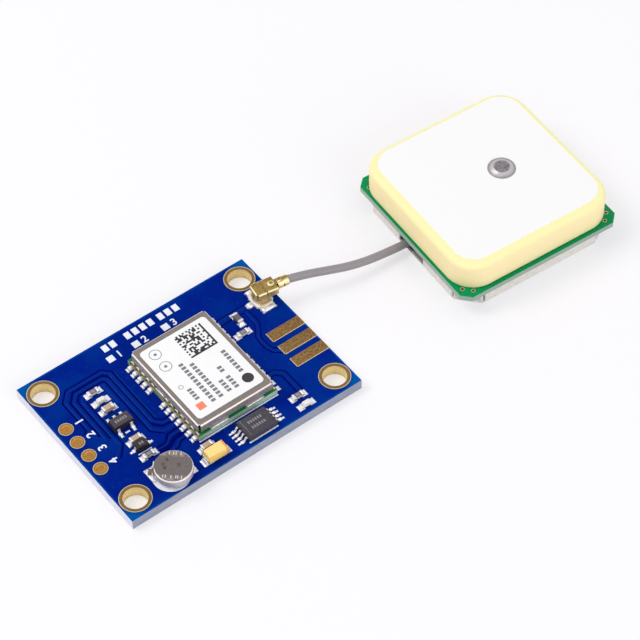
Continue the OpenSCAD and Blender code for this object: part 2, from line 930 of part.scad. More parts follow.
module memory_leads() {
    color(tin)
        at_memory_leads(pad_top)
            translate([memory_l / 2, 0, 0])
                bent_lead(memory_lead_l, lead_rise(memory_h), memory_lead_w, memory_foot);
}

// Children at each lead of the regulator, facing outwards
module at_regulator_leads(z) {
    for (p = regulator_leads_at)
        translate([column_x + p[0] * regulator_pitch, regulator_y, z])
            rotate(p[1] * 90)
                children();
}

module regulator() {
    color(case_black)
        translate([column_x, regulator_y, pad_top + case_lift])
            moulded_case(regulator_l, regulator_w, regulator_h, case_draft);
}

module regulator_leads() {
    color(tin)
        at_regulator_leads(pad_top)
            translate([regulator_w / 2, 0, 0])
                bent_lead(regulator_lead_l, lead_rise(regulator_h), regulator_lead_w, regulator_foot);
}

// Children at each lead of the diode, facing outwards
module at_diode_leads(z) {
    for (side = [0, 180])
        translate([column_x, diode_y, z])
            rotate(side)
                children();
}

module diode() {
    color(case_black)
        translate([column_x, diode_y, pad_top + case_lift])
            moulded_case(diode_l, diode_w, diode_h, case_draft);
}

module diode_leads() {
    color(tin)
        at_diode_leads(pad_top)
            translate([diode_l / 2, 0, 0])
                bent_lead(diode_lead_l, lead_rise(diode_h), diode_lead_w, diode_foot);
}

// Body of a chip, inside its metal ends
module chip_body(h) {
    translate([0, 0, chip_end_t])
        slab(chip_l - 2 * chip_end_t, chip_w - 2 * chip_end_t, h - 2 * chip_end_t);
}

// Two metal ends that wrap a chip's body
module chip_ends(h, end_l) {
    difference() {
        for (side = [-1, 1])
            translate([side * (chip_l - end_l) / 2, 0, 0])
                slab(end_l, chip_w, h);
        chip_body(h);
    }
}

module led_bases() {
    color(alumina)
        at_places(led_places, pad_top)
            chip_body(led_base_h);
}

module led_terminals() {
    color(gold)
        at_places(led_places, pad_top)
            chip_ends(led_base_h, led_end_l);
}

module led_lenses() {
    lens_l = chip_l - 2 * led_end_l - 2 * led_lens_gap;
    color(lens_white)
        at_places(led_places, pad_top + led_base_h - chip_end_t)
            difference() {
                translate([0, 0, -led_lens_h])
                    moulded_case(lens_l, chip_w - 2 * chip_end_t, 2 * led_lens_h, led_lens_draft);
                translate([0, 0, -2 * led_lens_h])
                    slab(chip_l, chip_l, 2 * led_lens_h);
                slab(led_die_w, led_die_w, led_die_h);
            }
}

module led_dies() {
    color(die_yellow)
        at_places(led_places, pad_top + led_base_h - chip_end_t)
            slab(led_die_w, led_die_w, led_die_h);
}

module resistor_bodies() {
    color(alumina)
        at_places(resistor_places, pad_top)
            chip_body(resistor_h);
}

module resistor_coats() {
    color(glass_grey)
        at_places(resistor_places, pad_top + resistor_h - chip_end_t)
            slab(chip_l - 2 * chip_end_l - coat_margin, chip_w - coat_margin, coat_t);
}

module resistor_terminals() {
    color(tin)
        at_places(resistor_places, pad_top)
            chip_ends(resistor_h, chip_end_l);
}

module capacitor_bodies() {
    color(mlcc_tan)
        at_places(capacitor_places, pad_top)
            chip_body(capacitor_h);
}

module capacitor_terminals() {
    color(tin)
        at_places(capacitor_places, pad_top)
            chip_ends(capacitor_h, chip_end_l);
}

module feed_inductor() {
    color(glass_grey)
        at_places(inductor_places, pad_top)
            chip_body(inductor_h);
}

module inductor_terminals() {
    color(tin)
        at_places(inductor_places, pad_top)
            chip_ends(inductor_h, chip_end_l);
}

// Concave solder against a wall at the origin, reaching out along +X
module end_solder(r, w) {
    rotate([90, 0, 0])
        linear_extrude(w, center = true)
            difference() {
                square(r);
                translate([r, r])
                    circle(r);
            }
}

// Solder at both ends of each chip of a list
module chip_ends_solder(places, r) {
    at_places(places, pad_top)
        for (side = [0, 180])
            rotate(side)
                translate([chip_l / 2, 0, 0])
                    end_solder(r, chip_w);
}

module chip_solder() {
    color(solder_grey) {
        chip_ends_solder(resistor_places, resistor_solder);
        chip_ends_solder(capacitor_places, capacitor_solder);
        chip_ends_solder(led_places, light_solder);
        chip_ends_solder(inductor_places, inductor_solder);
        for (side = [0, 180])
            translate([tantalum_x, tantalum_y, pad_top])
                rotate(side)
                    translate([tantalum_l / 2, 0, 0])
                        end_solder(tantalum_solder, tantalum_end_w);
    }
}

// Pads under the socket's legs and tail
module socket_pads() {
    for (side = [-1, 1])
        translate([0, side * (socket_w + socket_leg_out) / 2, 0])
            slab(socket_leg_w, socket_leg_out, pad_t);
    translate([-socket_w / 2 - socket_leg_out / 2, 0, 0])
        slab(socket_leg_out, socket_leg_out, pad_t);
}

// Flat tail of the socket's pin
module socket_tail() {
    translate([-socket_tail_l, -socket_tail_w / 2, 0])
        cube([socket_tail_l, socket_tail_w, socket_tail_t]);
}

module socket_base() {
    color(plastic_cream)
        translate([socket_x, socket_y, pad_top])
            difference() {
                linear_extrude(socket_base_h)
                    cut_square(socket_w, socket_corner);
                socket_tail();
                cylinder(d = socket_pin_d, h = 2 * socket_base_h);
            }
}

module socket_shell() {
    leg_y = socket_w / 2;
    strap_y = (socket_ring_d - shell_wall) / 2;
    strap_w = socket_w - 2 * socket_corner;
    color(bright_gold)
        translate([socket_x, socket_y, pad_top]) {
            translate([0, 0, socket_base_h])
                difference() {
                    cylinder(d = socket_ring_d, h = socket_ring_h);
                    translate([0, 0, -socket_ring_h])
                        cylinder(d = socket_ring_d - 2 * shell_wall, h = 3 * socket_ring_h);
                }
            for (side = [0, 180])
                rotate(side)
                    translate([-strap_w / 2, 0, 0]) {
                        translate([0, strap_y, socket_base_h])
                            cube([strap_w, leg_y + socket_leg_t - strap_y, socket_leg_t]);
                        translate([0, leg_y, 0])
                            cube([strap_w, socket_leg_t, socket_base_h + socket_leg_t]);
                        translate([0, leg_y, 0])
                            cube([strap_w, socket_leg_out, socket_leg_t]);
                    }
        }
}

module socket_pin() {
    color(bright_gold)
        translate([socket_x, socket_y, pad_top]) {
            cylinder(d = socket_pin_d, h = socket_base_h + socket_pin_h);
            socket_tail();
        }
}

// Wings folded down along the plug's plate, each in two lengths, and the flap at its front
module plug_wings() {
    starts = [plug_notch - plug_front, wing_split + wing_split_w];
    ends = [wing_split, plug_reach];
    flap_w = plug_plate_w - 2 * plug_notch;
    for (i = [0, 1])
        translate([(starts[i] + ends[i]) / 2, 0, plug_h - wing_drop[i]])
            rotate(90)
                folded_sheet(plug_plate_w, ends[i] - starts[i], wing_drop[i], plug_bend_r, shell_wall);
    intersection() {
        translate([(plug_reach - plug_front) / 2, 0, plug_h - plug_flap_drop])
            folded_sheet(plug_front + plug_reach, flap_w, plug_flap_drop, plug_bend_r, shell_wall);
        translate([-2 * plug_front, -plug_plate_w, 0])
            cube([2 * plug_front, 2 * plug_plate_w, 2 * plug_h]);
    }
}

// Room between the two bands of the crimp, and the seam under them
module crimp_cuts() {
    reach = 2 * (crimp_r + shell_wall);
    translate([crimp_band_l, -reach, -reach])
        cube([crimp_groove, 2 * reach, reach + crimp_r / 2]);
    translate([0, -crimp_seam / 2, -reach])
        cube([crimp_l, crimp_seam, reach]);
}

module plug_shell() {
    barrel_x = plug_reach + crimp_neck;
    plate_w = plug_plate_w - 2 * plug_bend_r;
    color(bright_gold)
        in_plug()
            difference() {
                union() {
                    difference() {
                        translate([0, 0, plug_skirt_z])
                            cylinder(r = plug_out_r, h = plug_h - plug_bend_r - plug_skirt_z);
                        translate([0, -crimp_slot_w / 2, plug_floor])
                            cube([2 * plug_out_r, crimp_slot_w, plug_ceiling - plug_floor]);
                    }
                    translate([plug_bend_r - plug_front, -plate_w / 2, plug_ceiling])
                        cube([plug_front + plug_reach - plug_bend_r, plate_w, shell_wall]);
                    plug_wings();
                    translate([plug_reach, -crimp_slot_w / 2, plug_ceiling])
                        cube([crimp_neck + crimp_slot_w, crimp_slot_w, shell_wall]);
                    translate([plug_reach - plug_dimple_inset, 0, plug_h])
                        cylinder(d1 = plug_dimple_d[0], d2 = plug_dimple_d[1], h = plug_dimple_h);
                    translate([barrel_x, 0, crimp_axis_z])
                        rotate([0, 90, 0])
                            cylinder(r = crimp_r + shell_wall, h = crimp_l);
                }
                cylinder(r = plug_in_r, h = plug_ceiling);
                translate([barrel_x, 0, crimp_axis_z])
                    crimp_cuts();
                translate([plug_reach, 0, crimp_axis_z])
                    rotate([0, 90, 0])
                        cylinder(r = crimp_r, h = 2 * crimp_l);
            }
}

// Arm and socket of the plug's contact, without its bore
module contact_form() {
    translate([0, 0, contact_z])
        cylinder(r = contact_r, h = contact_h);
    translate([0, -contact_arm_w / 2, contact_arm_z])
        cube([plug_reach + crimp_neck + crimp_seat, contact_arm_w, contact_arm_t]);
}

module plug_insulator() {
    color(plastic_cream)
        in_plug()
            difference() {
                translate([0, 0, plug_floor])
                    cylinder(r = plug_in_r, h = plug_ceiling - plug_floor);
                contact_form();
            }
}

module plug_contact() {
    color(bright_gold)
        in_plug()
            difference() {
                contact_form();
                cylinder(d = socket_pin_d + 2 * mate_gap, h = contact_arm_z);
            }
}

module antenna_lead() {
    rings = len(lead_route);
    points = [for (i = [0:rings - 1], k = [0:lead_sides - 1]) lead_ring_point(i, k * 360 / lead_sides)];
    walls = [
        for (i = [0:rings - 2], k = [0:lead_sides - 1])
            let (next = (k + 1) % lead_sides, a = i * lead_sides, b = a + lead_sides)
            each [[a + k, b + k, b + next], [a + k, b + next, a + next]]
    ];
    first_cap = [for (k = [0:lead_sides - 1]) k];
    last_cap = [for (k = [0:lead_sides - 1]) rings * lead_sides - 1 - k];
    color(cable_grey)
        polyhedron(points, concat(walls, [first_cap, last_cap]));
}

module lead_braid() {
    color(copper)
        at_lead_end(0)
            cylinder(d = braid_d, h = braid_l);
}

module lead_core() {
    color(copper)
        at_lead_end(braid_l)
            cylinder(d = core_d, h = core_l);
}

module lead_solder() {
    color(solder_grey)
        difference() {
            translate([lead_last[0], lead_last[1], antenna_z])
                rotate(antenna_turn)
                    translate([braid_solder_gap, -braid_solder_w / 2, lead_last[2] - antenna_z])
                        cube([braid_solder_l, braid_solder_w, antenna_z - lead_last[2]]);
            at_lead_end(0)
                cylinder(d = braid_d, h = braid_l);
            at_lead_end(braid_l)
                cylinder(d = core_d, h = core_l);
        }
}

module antenna_board() {
    h = antenna_side / 2;
    color(board_green)
        in_antenna()
            translate([0, 0, antenna_z])
                difference() {
                    linear_extrude(antenna_board_t)
                        cut_square(antenna_side, antenna_corner);
                    translate([feed_at[0], feed_at[1], -antenna_board_t])
                        cylinder(d = feed_d, h = 3 * antenna_board_t);
                    for (x = [-1, 1], y = [-1, 1], i = [0, 1])
                        translate([x * (h - via_inset[i]), y * (h - via_inset[1 - i]), -antenna_board_t])
                            cylinder(d = via_d, h = 3 * antenna_board_t);
                }
}

// Upright plate across one cut corner of the antenna's shield
module tray_corner_plate() {
    for (a = [45:90:315])
        rotate(a)
            translate([tray_plate_x - tray_sheet, -tray_plate_w / 2, 0])
                cube([tray_sheet, tray_plate_w, tray_h]);
}

module antenna_shield() {
    run = tray_side - 2 * tray_corner;
    color(tray_grey)
        in_antenna()
            difference() {
                union() {
                    linear_extrude(tray_sheet)
                        cut_square(tray_side - 2 * tray_bend_r, tray_corner - 2 * tray_bend_r);
                    for (a = [0, 90])
                        translate([0, 0, tray_h])
                            rotate([180, 0, a])
                                folded_sheet(tray_side, run, tray_h, tray_bend_r, tray_sheet);
                    tray_corner_plate();
                }
                translate([-tray_side, lead_gate_y - lead_gate_w / 2, tray_bend_r])
                    cube([tray_side / 2 + tray_corner, lead_gate_w, tray_h]);
            }
}

module corner_solder() {
    color(solder_grey)
        in_antenna()
            for (a = [45:90:315])
                rotate(a)
                    translate([tray_plate_x, 0, antenna_z])
                        mirror([0, 0, 1])
                            end_solder(corner_solder_r, tray_plate_w);
}

// Ceramic block's form, with a round upper edge
module ceramic_form() {
    corner = ceramic_side / 2 - ceramic_corner_r;
    edge = ceramic_side / 2 - ceramic_edge_r;
    shoulder = ceramic_h - ceramic_edge_r;
    linear_extrude(shoulder)
        round_rect(ceramic_side, ceramic_side, ceramic_corner_r);
    linear_extrude(ceramic_h)
        round_rect(2 * edge, 2 * edge, ceramic_corner_r - ceramic_edge_r);
    for (a = [0:90:270])
        rotate(a) {
            translate([edge, corner, shoulder])
                rotate([90, 0, 0])
                    cylinder(r = ceramic_edge_r, h = 2 * corner);
            translate([corner, corner, shoulder])
                rotate_extrude(angle = 90)
                    translate([ceramic_corner_r - ceramic_edge_r, 0])
                        circle(ceramic_edge_r);
        }
}

// Children in the ceramic block's frame, at a height
module in_ceramic(z) {
    in_antenna()
        translate([ceramic_shift[0], ceramic_shift[1], z])
            children();
}

// Room for the feed pin, in the antenna's frame
module feed_bore(d) {
    in_antenna()
        translate([feed_at[0], feed_at[1], 0])
            cylinder(d = d, h = 2 * electrode_z);
}

module ceramic_block() {
    color(ceramic_cream)
        difference() {
            in_ceramic(ceramic_z)
                ceramic_form();
            feed_bore(feed_d + 2 * feed_gap);
        }
}

module ground_layer() {
    side = ceramic_side - 2 * ceramic_edge_r;
    color(silver_white)
        difference() {
            in_ceramic(antenna_z + antenna_board_t)
                linear_extrude(silver_t)
                    round_rect(side, side, ceramic_corner_r - ceramic_edge_r);
            feed_bore(feed_head_d);
        }
}

module electrode() {
    side = ceramic_side - 2 * electrode_border;
    color(silver_white)
        difference() {
            in_ceramic(electrode_z)
                translate(electrode_shift)
                    linear_extrude(silver_t)
                        round_rect(side, side, electrode_r);
            feed_bore(feed_d + 2 * feed_gap);
        }
}

module feed_pin() {
    tail_z = antenna_z - feed_tail;
    head_z = electrode_z + silver_t;
    color(tin)
        in_antenna()
            translate([feed_at[0], feed_at[1], 0]) {
                translate([0, 0, tail_z])
                    cylinder(d = feed_d, h = head_z - tail_z);
                translate([0, 0, head_z])
                    cylinder(d = feed_head_d, h = feed_head_t);
            }
}

module feed_solder() {
    foot = (feed_solder_d - feed_head_d) / 2;
    color(solder_grey)
        in_antenna()
            translate([feed_at[0], feed_at[1], electrode_z + silver_t])
                rotate_extrude()
                    translate([feed_head_d / 2, 0])
                        polygon([
                            [0, 0], [foot, 0], [foot - feed_rim, feed_head_t / 2],
                            [feed_rim, feed_head_t], [0, feed_head_t]
                        ]);
}

// Part on the underside of the antenna's board
module under_antenna(b) {
    in_antenna()
        translate([0, 0, antenna_z - b[4]])
            part_box(b);
}

module amplifier_chip() {
    color(case_black)
        under_antenna(amplifier_box);
}

module antenna_filter() {
    color(bright_gold)
        under_antenna(antenna_filter_box);
}

module amplifier_chips() {
    color(mlcc_tan)
        for (p = small_chip_places)
            under_antenna([p[0], p[1], small_chip_box[0], small_chip_box[1], small_chip_box[2]]);
}

circuit_board();
mounting_hole_plating();
header_hole_plating();
edge_pads();
component_pads();
receiver_board();
receiver_shield();
receiver_label();
receiver_solder();
receiver_chip();
receiver_oscillator();
receiver_filter();
backup_cell();
cell_upper_tab();
cell_lower_tab();
tantalum_case();
tantalum_terminals();
memory_chip();
memory_leads();
regulator();
regulator_leads();
diode();
diode_leads();
led_bases();
led_lenses();
led_dies();
led_terminals();
resistor_bodies();
resistor_coats();
resistor_terminals();
capacitor_bodies();
capacitor_terminals();
feed_inductor();
inductor_terminals();
chip_solder();
socket_base();
socket_shell();
socket_pin();
plug_shell();
plug_insulator();
plug_contact();
antenna_lead();
lead_braid();
lead_core();
lead_solder();
antenna_board();
antenna_shield();
corner_solder();
ceramic_block();
ground_layer();
electrode();
feed_pin();
feed_solder();
amplifier_chip();
antenna_filter();
amplifier_chips();
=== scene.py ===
"""Looks of a satellite positioning module: a blue board with its parts, a lead and a ceramic patch antenna."""

import logging
import math
import random
from dataclasses import dataclass
from enum import Enum
from typing import Callable, ClassVar, Sequence

import bmesh
import bpy
from mathutils import Matrix, Vector


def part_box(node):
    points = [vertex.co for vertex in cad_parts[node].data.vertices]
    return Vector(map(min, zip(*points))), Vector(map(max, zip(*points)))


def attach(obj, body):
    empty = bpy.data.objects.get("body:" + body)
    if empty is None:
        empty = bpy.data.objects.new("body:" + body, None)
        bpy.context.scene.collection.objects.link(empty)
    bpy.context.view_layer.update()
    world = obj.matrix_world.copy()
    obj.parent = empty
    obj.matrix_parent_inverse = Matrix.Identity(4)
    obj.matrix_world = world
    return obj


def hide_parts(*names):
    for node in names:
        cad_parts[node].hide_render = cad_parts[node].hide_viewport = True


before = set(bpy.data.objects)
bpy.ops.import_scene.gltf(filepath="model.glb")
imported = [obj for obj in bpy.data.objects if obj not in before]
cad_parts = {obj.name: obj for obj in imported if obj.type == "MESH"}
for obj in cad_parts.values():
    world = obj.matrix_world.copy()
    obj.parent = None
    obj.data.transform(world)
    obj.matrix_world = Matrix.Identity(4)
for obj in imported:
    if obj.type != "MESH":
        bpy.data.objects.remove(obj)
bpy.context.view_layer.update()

LOG = logging.getLogger("module")
MM = 0.001
MERGE = 1e-6
BODY = "root"
SINK = 0.01  # how far a piece is sunk into what carries it, in millimetres
INK_SINK = 0.002  # the same for print
COPPER_SINK = 0.004  # the same for copper and solder on pads
PROUD = 0.004  # how far a thin rim stands above its face, in millimetres
RELIEF = 0.02  # depth of a finish's grain, in millimetres
COAT_ROUGH = 0.15  # roughness of a clear coat
FLAT_ANGLE = 1.0  # faces that meet at less are joined, in degrees
SHARP_ANGLE = 40.0  # edges sharper than this are broken
SMOOTH_ANGLE = 38.0  # edges less sharp than this are shaded smooth

Colour = tuple[int, int, int]
Point = tuple[float, float]
Triple = tuple[float, float, float]
Routes = dict[float, list[list[Point]]]
Socket = bpy.types.NodeSocket
Node = bpy.types.Node
Piece = bpy.types.Object
Mesh = bmesh.types.BMesh


def linear(colour: Colour) -> tuple[float, float, float, float]:
    """Turns a screen colour into the linear values that shaders use.

    Args:
        colour: Red, green and blue from 0 to 255.

    Returns:
        Linear red, green, blue and an alpha of 1.
    """

    def channel(value: int) -> float:
        """Linear value of one channel."""
        share = value / 255
        return share / 12.92 if share <= 0.04045 else ((share + 0.055) / 1.055) ** 2.4

    return (*[channel(value) for value in colour], 1.0)


class Wiring:
    """Adds nodes to a node tree and joins their sockets."""

    def __init__(self, tree: bpy.types.NodeTree) -> None:
        """Starts on an existing tree."""
        self.tree = tree

    def put(self, socket: Socket, value: object) -> None:
        """Joins a socket to another one, or sets its value.

        Args:
            socket: The socket.
            value: Another socket, or a value.
        """
        if isinstance(value, Socket):
            self.tree.links.new(value, socket)
        else:
            socket.default_value = value

    def add(self, kind: str, inputs: dict | None = None, **settings: object) -> Node:
        """Adds one node.

        Args:
            kind: The node's type name.
            inputs: Sockets or values for the node's inputs, by name or number.
            **settings: Properties of the node itself.

        Returns:
            The new node.
        """
        node = self.tree.nodes.new(kind)
        for name, value in settings.items():
            setattr(node, name, value)
        for key, value in (inputs or {}).items():
            self.put(node.inputs[key], value)
        return node

    def math(self, operation: str, first: object, second: object = 0.0) -> Socket:
        """Result of a math node."""
        return self.add("ShaderNodeMath", {0: first, 1: second}, operation=operation).outputs[0]

    def span(self, value: object, low: float, high: float, start: float = 0.0, end: float = 1.0) -> Socket:
        """Maps a value from one range to another, held at both ends."""
        inputs = {"Value": value, "From Min": low, "From Max": high, "To Min": start, "To Max": end}
        return self.add("ShaderNodeMapRange", inputs).outputs[0]

    def split(self, vector: Socket) -> bpy.types.bpy_prop_collection:
        """The three parts of a vector, by axis."""
        return self.add("ShaderNodeSeparateXYZ", {0: vector}).outputs

    def blend(self, share: object, first: object, second: object) -> Socket:
        """Mixes two colours by a share.

        Args:
            share: Share of the second colour.
            first: The first colour.
            second: The second colour.

        Returns:
            The mixed colour.
        """
        mix = self.add("ShaderNodeMix", data_type="RGBA")
        for index, value in ((0, share), (6, first), (7, second)):
            self.put(mix.inputs[index], value)
        return mix.outputs[2]


class SharedGroup(Enum):
    """Shader node groups that more than one finish uses."""

    GRAIN = "surface_grain"
    BRUSHED = "brushed_grain"
    UPWARD = "upward_face"
    FOLD = "fold_line"
    BLOTCH = "blotches"

    def value_in(self, wiring: Wiring, **inputs: object) -> Socket:
        """Places the group in a material.

        Args:
            wiring: The material's wiring.
            **inputs: Values for the group's inputs.

        Returns:
            The group's result.
        """
        placed = wiring.add("ShaderNodeGroup", node_tree=bpy.data.node_groups[self.value])
        for name, value in inputs.items():
            wiring.put(placed.inputs[name], value)
        return placed.outputs[0]


class GroupMaker:
    """Builds the shared shader groups once."""

    @staticmethod
    def start(group: SharedGroup, inputs: dict[str, str], output: str) -> tuple[Wiring, Node, Node]:
        """Makes an empty group with its sockets.

        Args:
            group: Which group to make.
            inputs: Socket types by input name.
            output: Name of the single value output.

        Returns:
            The wiring, the input node and the output node.
        """
        tree = bpy.data.node_groups.new(group.value, "ShaderNodeTree")
        for name, kind in inputs.items():
            tree.interface.new_socket(name, in_out="INPUT", socket_type=kind)
        tree.interface.new_socket(output, in_out="OUTPUT", socket_type="NodeSocketFloat")
        wiring = Wiring(tree)
        return wiring, wiring.add("NodeGroupInput"), wiring.add("NodeGroupOutput")

    def noise(self, group: SharedGroup, low: float, high: float, detail: float) -> None:
        """Group of plain noise whose contrast is set by a low and a high mark.

        Args:
            group: Which group to make.
            low: Noise that gives 0.
            high: Noise that gives 1.
            detail: Fineness of the noise.
        """
        wiring, given, result = self.start(
            group, {"Vector": "NodeSocketVector", "Scale": "NodeSocketFloat"}, "Value"
        )
        inputs = {"Vector": given.outputs["Vector"], "Scale": given.outputs["Scale"], "Detail": detail}
        noise = wiring.add("ShaderNodeTexNoise", inputs)
        wiring.put(result.inputs["Value"], wiring.span(noise.outputs[0], low, high))

    def brushed(self) -> None:
        """Group of noise drawn out along one direction, as rolling and brushing leave it."""
        sockets = {"Vector": "NodeSocketVector", "Scale": "NodeSocketFloat", "Stretch": "NodeSocketVector"}
        wiring, given, result = self.start(SharedGroup.BRUSHED, sockets, "Value")
        drawn = wiring.add(
            "ShaderNodeVectorMath",
            {0: given.outputs["Vector"], 1: given.outputs["Stretch"]},
            operation="MULTIPLY",
        )
        inputs = {"Vector": drawn.outputs[0], "Scale": given.outputs["Scale"], "Detail": 4.0}
        noise = wiring.add("ShaderNodeTexNoise", inputs)
        wiring.put(result.inputs["Value"], wiring.span(noise.outputs[0], 0.3, 0.7))

    def upward(self) -> None:
        """Group that is 1 on faces that look up or down and 0 on upright ones."""
        wiring, given, result = self.start(SharedGroup.UPWARD, {"Normal": "NodeSocketVector"}, "Value")
        steep = wiring.math("ABSOLUTE", wiring.split(given.outputs["Normal"])["Z"])
        wiring.put(result.inputs["Value"], wiring.span(steep, 0.4, 0.6))

    def fold_highlight(self) -> None:
        """Group that is 1 where a sheet bends from a flat face to an upright one, where a painted highlight goes.
        """
        wiring, given, result = self.start(SharedGroup.FOLD, {"Normal": "NodeSocketVector"}, "Value")
        steep = wiring.math("ABSOLUTE", wiring.split(given.outputs["Normal"])["Z"])
        rise = wiring.span(steep, 0.12, 0.3)
        fall = wiring.span(steep, 0.9, 0.97, 1.0, 0.0)
        wiring.put(result.inputs["Value"], wiring.math("MULTIPLY", rise, fall))

    def build(self) -> None:
        """Builds all shared groups."""
        self.noise(SharedGroup.GRAIN, 0.3, 0.7, 3.0)
        self.noise(SharedGroup.BLOTCH, 0.45, 0.62, 2.0)
        self.brushed()
        self.upward()
        self.fold_highlight()


@dataclass(frozen=True)
class Finish:
    """A surface whose colour and roughness drift with its grain.

    Attributes:
        name: Name of the material.
        slot: A material slot; not used.
        colour: Main colour.
        drift: Colour that the grain mixes in.
        rough: Lowest and highest roughness.
        metallic: 1 for bare metal.
        specular: Specular level of the shader.
        grain: Cells of the grain in each millimetre.
        stretch: Draws the grain out along an axis, where it is given.
        bump: Strength of the grain's relief.
        coat: Weight of a clear coat.
    """

    name: str
    slot: str
    colour: Colour
    drift: Colour
    rough: tuple[float, float] = (0.35, 0.5)
    metallic: float = 0.0
    specular: float = 0.3
    grain: float = 4.0
    stretch: Triple | None = None
    bump: float = 0.1
    coat: float = 0.0

    def paint(self, wiring: Wiring, base: Socket, spot: Node) -> Socket:
        """Adds marks to the base colour; plain finishes keep it.

        Args:
            wiring: The material's wiring.
            base: The colour so far.
            spot: The material's coordinates.

        Returns:
            The colour to use.
        """
        return base

    def special(self, surface: Node) -> None:
        """Sets values of the shader that only some finishes need."""

    def pattern(self, wiring: Wiring, spot: Node) -> Socket:
        """Grain of the surface, from 0 to 1.

        Args:
            wiring: The material's wiring.
            spot: The material's coordinates.

        Returns:
            The grain.
        """
        place, scale = spot.outputs["Object"], self.grain / MM
        if self.stretch is None:
            return SharedGroup.GRAIN.value_in(wiring, Vector=place, Scale=scale)
        return SharedGroup.BRUSHED.value_in(wiring, Vector=place, Scale=scale, Stretch=self.stretch)

    def build(self) -> bpy.types.Material:
        """Makes the material.

        Returns:
            The material, ready to assign.
        """
        material = bpy.data.materials.new(self.name)
        material.use_nodes = True
        wiring = Wiring(material.node_tree)
        surface = material.node_tree.nodes["Principled BSDF"]
        spot = wiring.add("ShaderNodeTexCoord")
        pattern = self.pattern(wiring, spot)
        base = wiring.blend(pattern, linear(self.colour), linear(self.drift))
        wiring.put(surface.inputs["Base Color"], self.paint(wiring, base, spot))
        wiring.put(surface.inputs["Roughness"], wiring.span(pattern, 0.0, 1.0, *self.rough))
        surface.inputs["Metallic"].default_value = self.metallic
        surface.inputs["Specular IOR Level"].default_value = self.specular
        surface.inputs["Coat Weight"].default_value = self.coat
        surface.inputs["Coat Roughness"].default_value = COAT_ROUGH
        bump = wiring.add("ShaderNodeBump", {"Strength": self.bump, "Distance": RELIEF * MM, "Height": pattern})
        wiring.put(surface.inputs["Normal"], bump.outputs["Normal"])
        self.special(surface)
        return material


@dataclass(frozen=True)
class FoldedFinish(Finish):
    """Sheet metal or plating with painted light and shade on its walls and a painted highlight on its bends.

    Attributes:
        wall: Colour of the upright faces, with their light and shade painted in.
        fold_highlight: Painted highlight on the bends.
        wall_share: Share of the walls' colour over the grain.
        fold_highlight_share: Share of the painted highlight on the bends.
    """

    wall: Colour = (180, 170, 170)
    fold_highlight: Colour = (246, 238, 231)
    wall_share: float = 0.8
    fold_highlight_share: float = 0.9

    def paint(self, wiring: Wiring, base: Socket, spot: Node) -> Socket:
        """Adds the painted light and shade of the walls and the painted highlight of the bends, with some of the
        grain kept on both.

        Args:
            wiring: The material's wiring.
            base: The colour so far.
            spot: The material's coordinates.

        Returns:
            The colour to use.
        """
        normal = spot.outputs["Normal"]
        upper = SharedGroup.UPWARD.value_in(wiring, Normal=normal)
        bend = SharedGroup.FOLD.value_in(wiring, Normal=normal)
        wall = wiring.blend(self.wall_share, base, linear(self.wall))
        flat = wiring.blend(upper, wall, base)
        # Painted highlight on the bends, laid over the walls' painted light and shade.
        return wiring.blend(wiring.math("MULTIPLY", bend, self.fold_highlight_share), flat, linear(self.fold_highlight))


@dataclass(frozen=True)
class BoardFinish(Finish):
    """Solder mask on the flat faces of a board, with its fibres bare at the edges, whose colours carry painted
    light and shade.

    Attributes:
        laminate: Colour of the edges that look along X, with their light and shade painted in.
        y_edge_shading: Colour of the edges that look along Y, with their light and shade painted in.
        fibre: How the fibres are drawn out along each axis.
        fibre_grain: Fibres in each millimetre.
        fibre_share: Share of the mask's colour between the fibres.
    """

    laminate: Colour = (205, 208, 220)
    y_edge_shading: Colour = (158, 162, 182)
    fibre: Triple = (0.15, 0.15, 3.0)
    fibre_grain: float = 6.0
    fibre_share: float = 0.35

    def mask(self, wiring: Wiring, base: Socket, spot: Node) -> Socket:
        """Colour of the flat faces."""
        return base

    def paint(self, wiring: Wiring, base: Socket, spot: Node) -> Socket:
        """Adds the fibrous edges, whose colours along X and along Y differ by painted light and shade.

        Args:
            wiring: The material's wiring.
            base: The colour so far.
            spot: The material's coordinates.

        Returns:
            The colour to use.
        """
        place, normal = spot.outputs["Object"], spot.outputs["Normal"]
        grain = self.fibre_grain / MM
        fibre = SharedGroup.BRUSHED.value_in(wiring, Vector=place, Scale=grain, Stretch=self.fibre)
        across = wiring.math("ABSOLUTE", wiring.split(normal)["Y"])
        # Edges along X and along Y get their own colours, with painted light and shade.
        edge = wiring.blend(across, linear(self.laminate), linear(self.y_edge_shading))
        dark = wiring.blend(wiring.math("MULTIPLY", fibre, self.fibre_share), edge, linear(self.colour))
        upper = SharedGroup.UPWARD.value_in(wiring, Normal=normal)
        return wiring.blend(upper, dark, self.mask(wiring, base, spot))


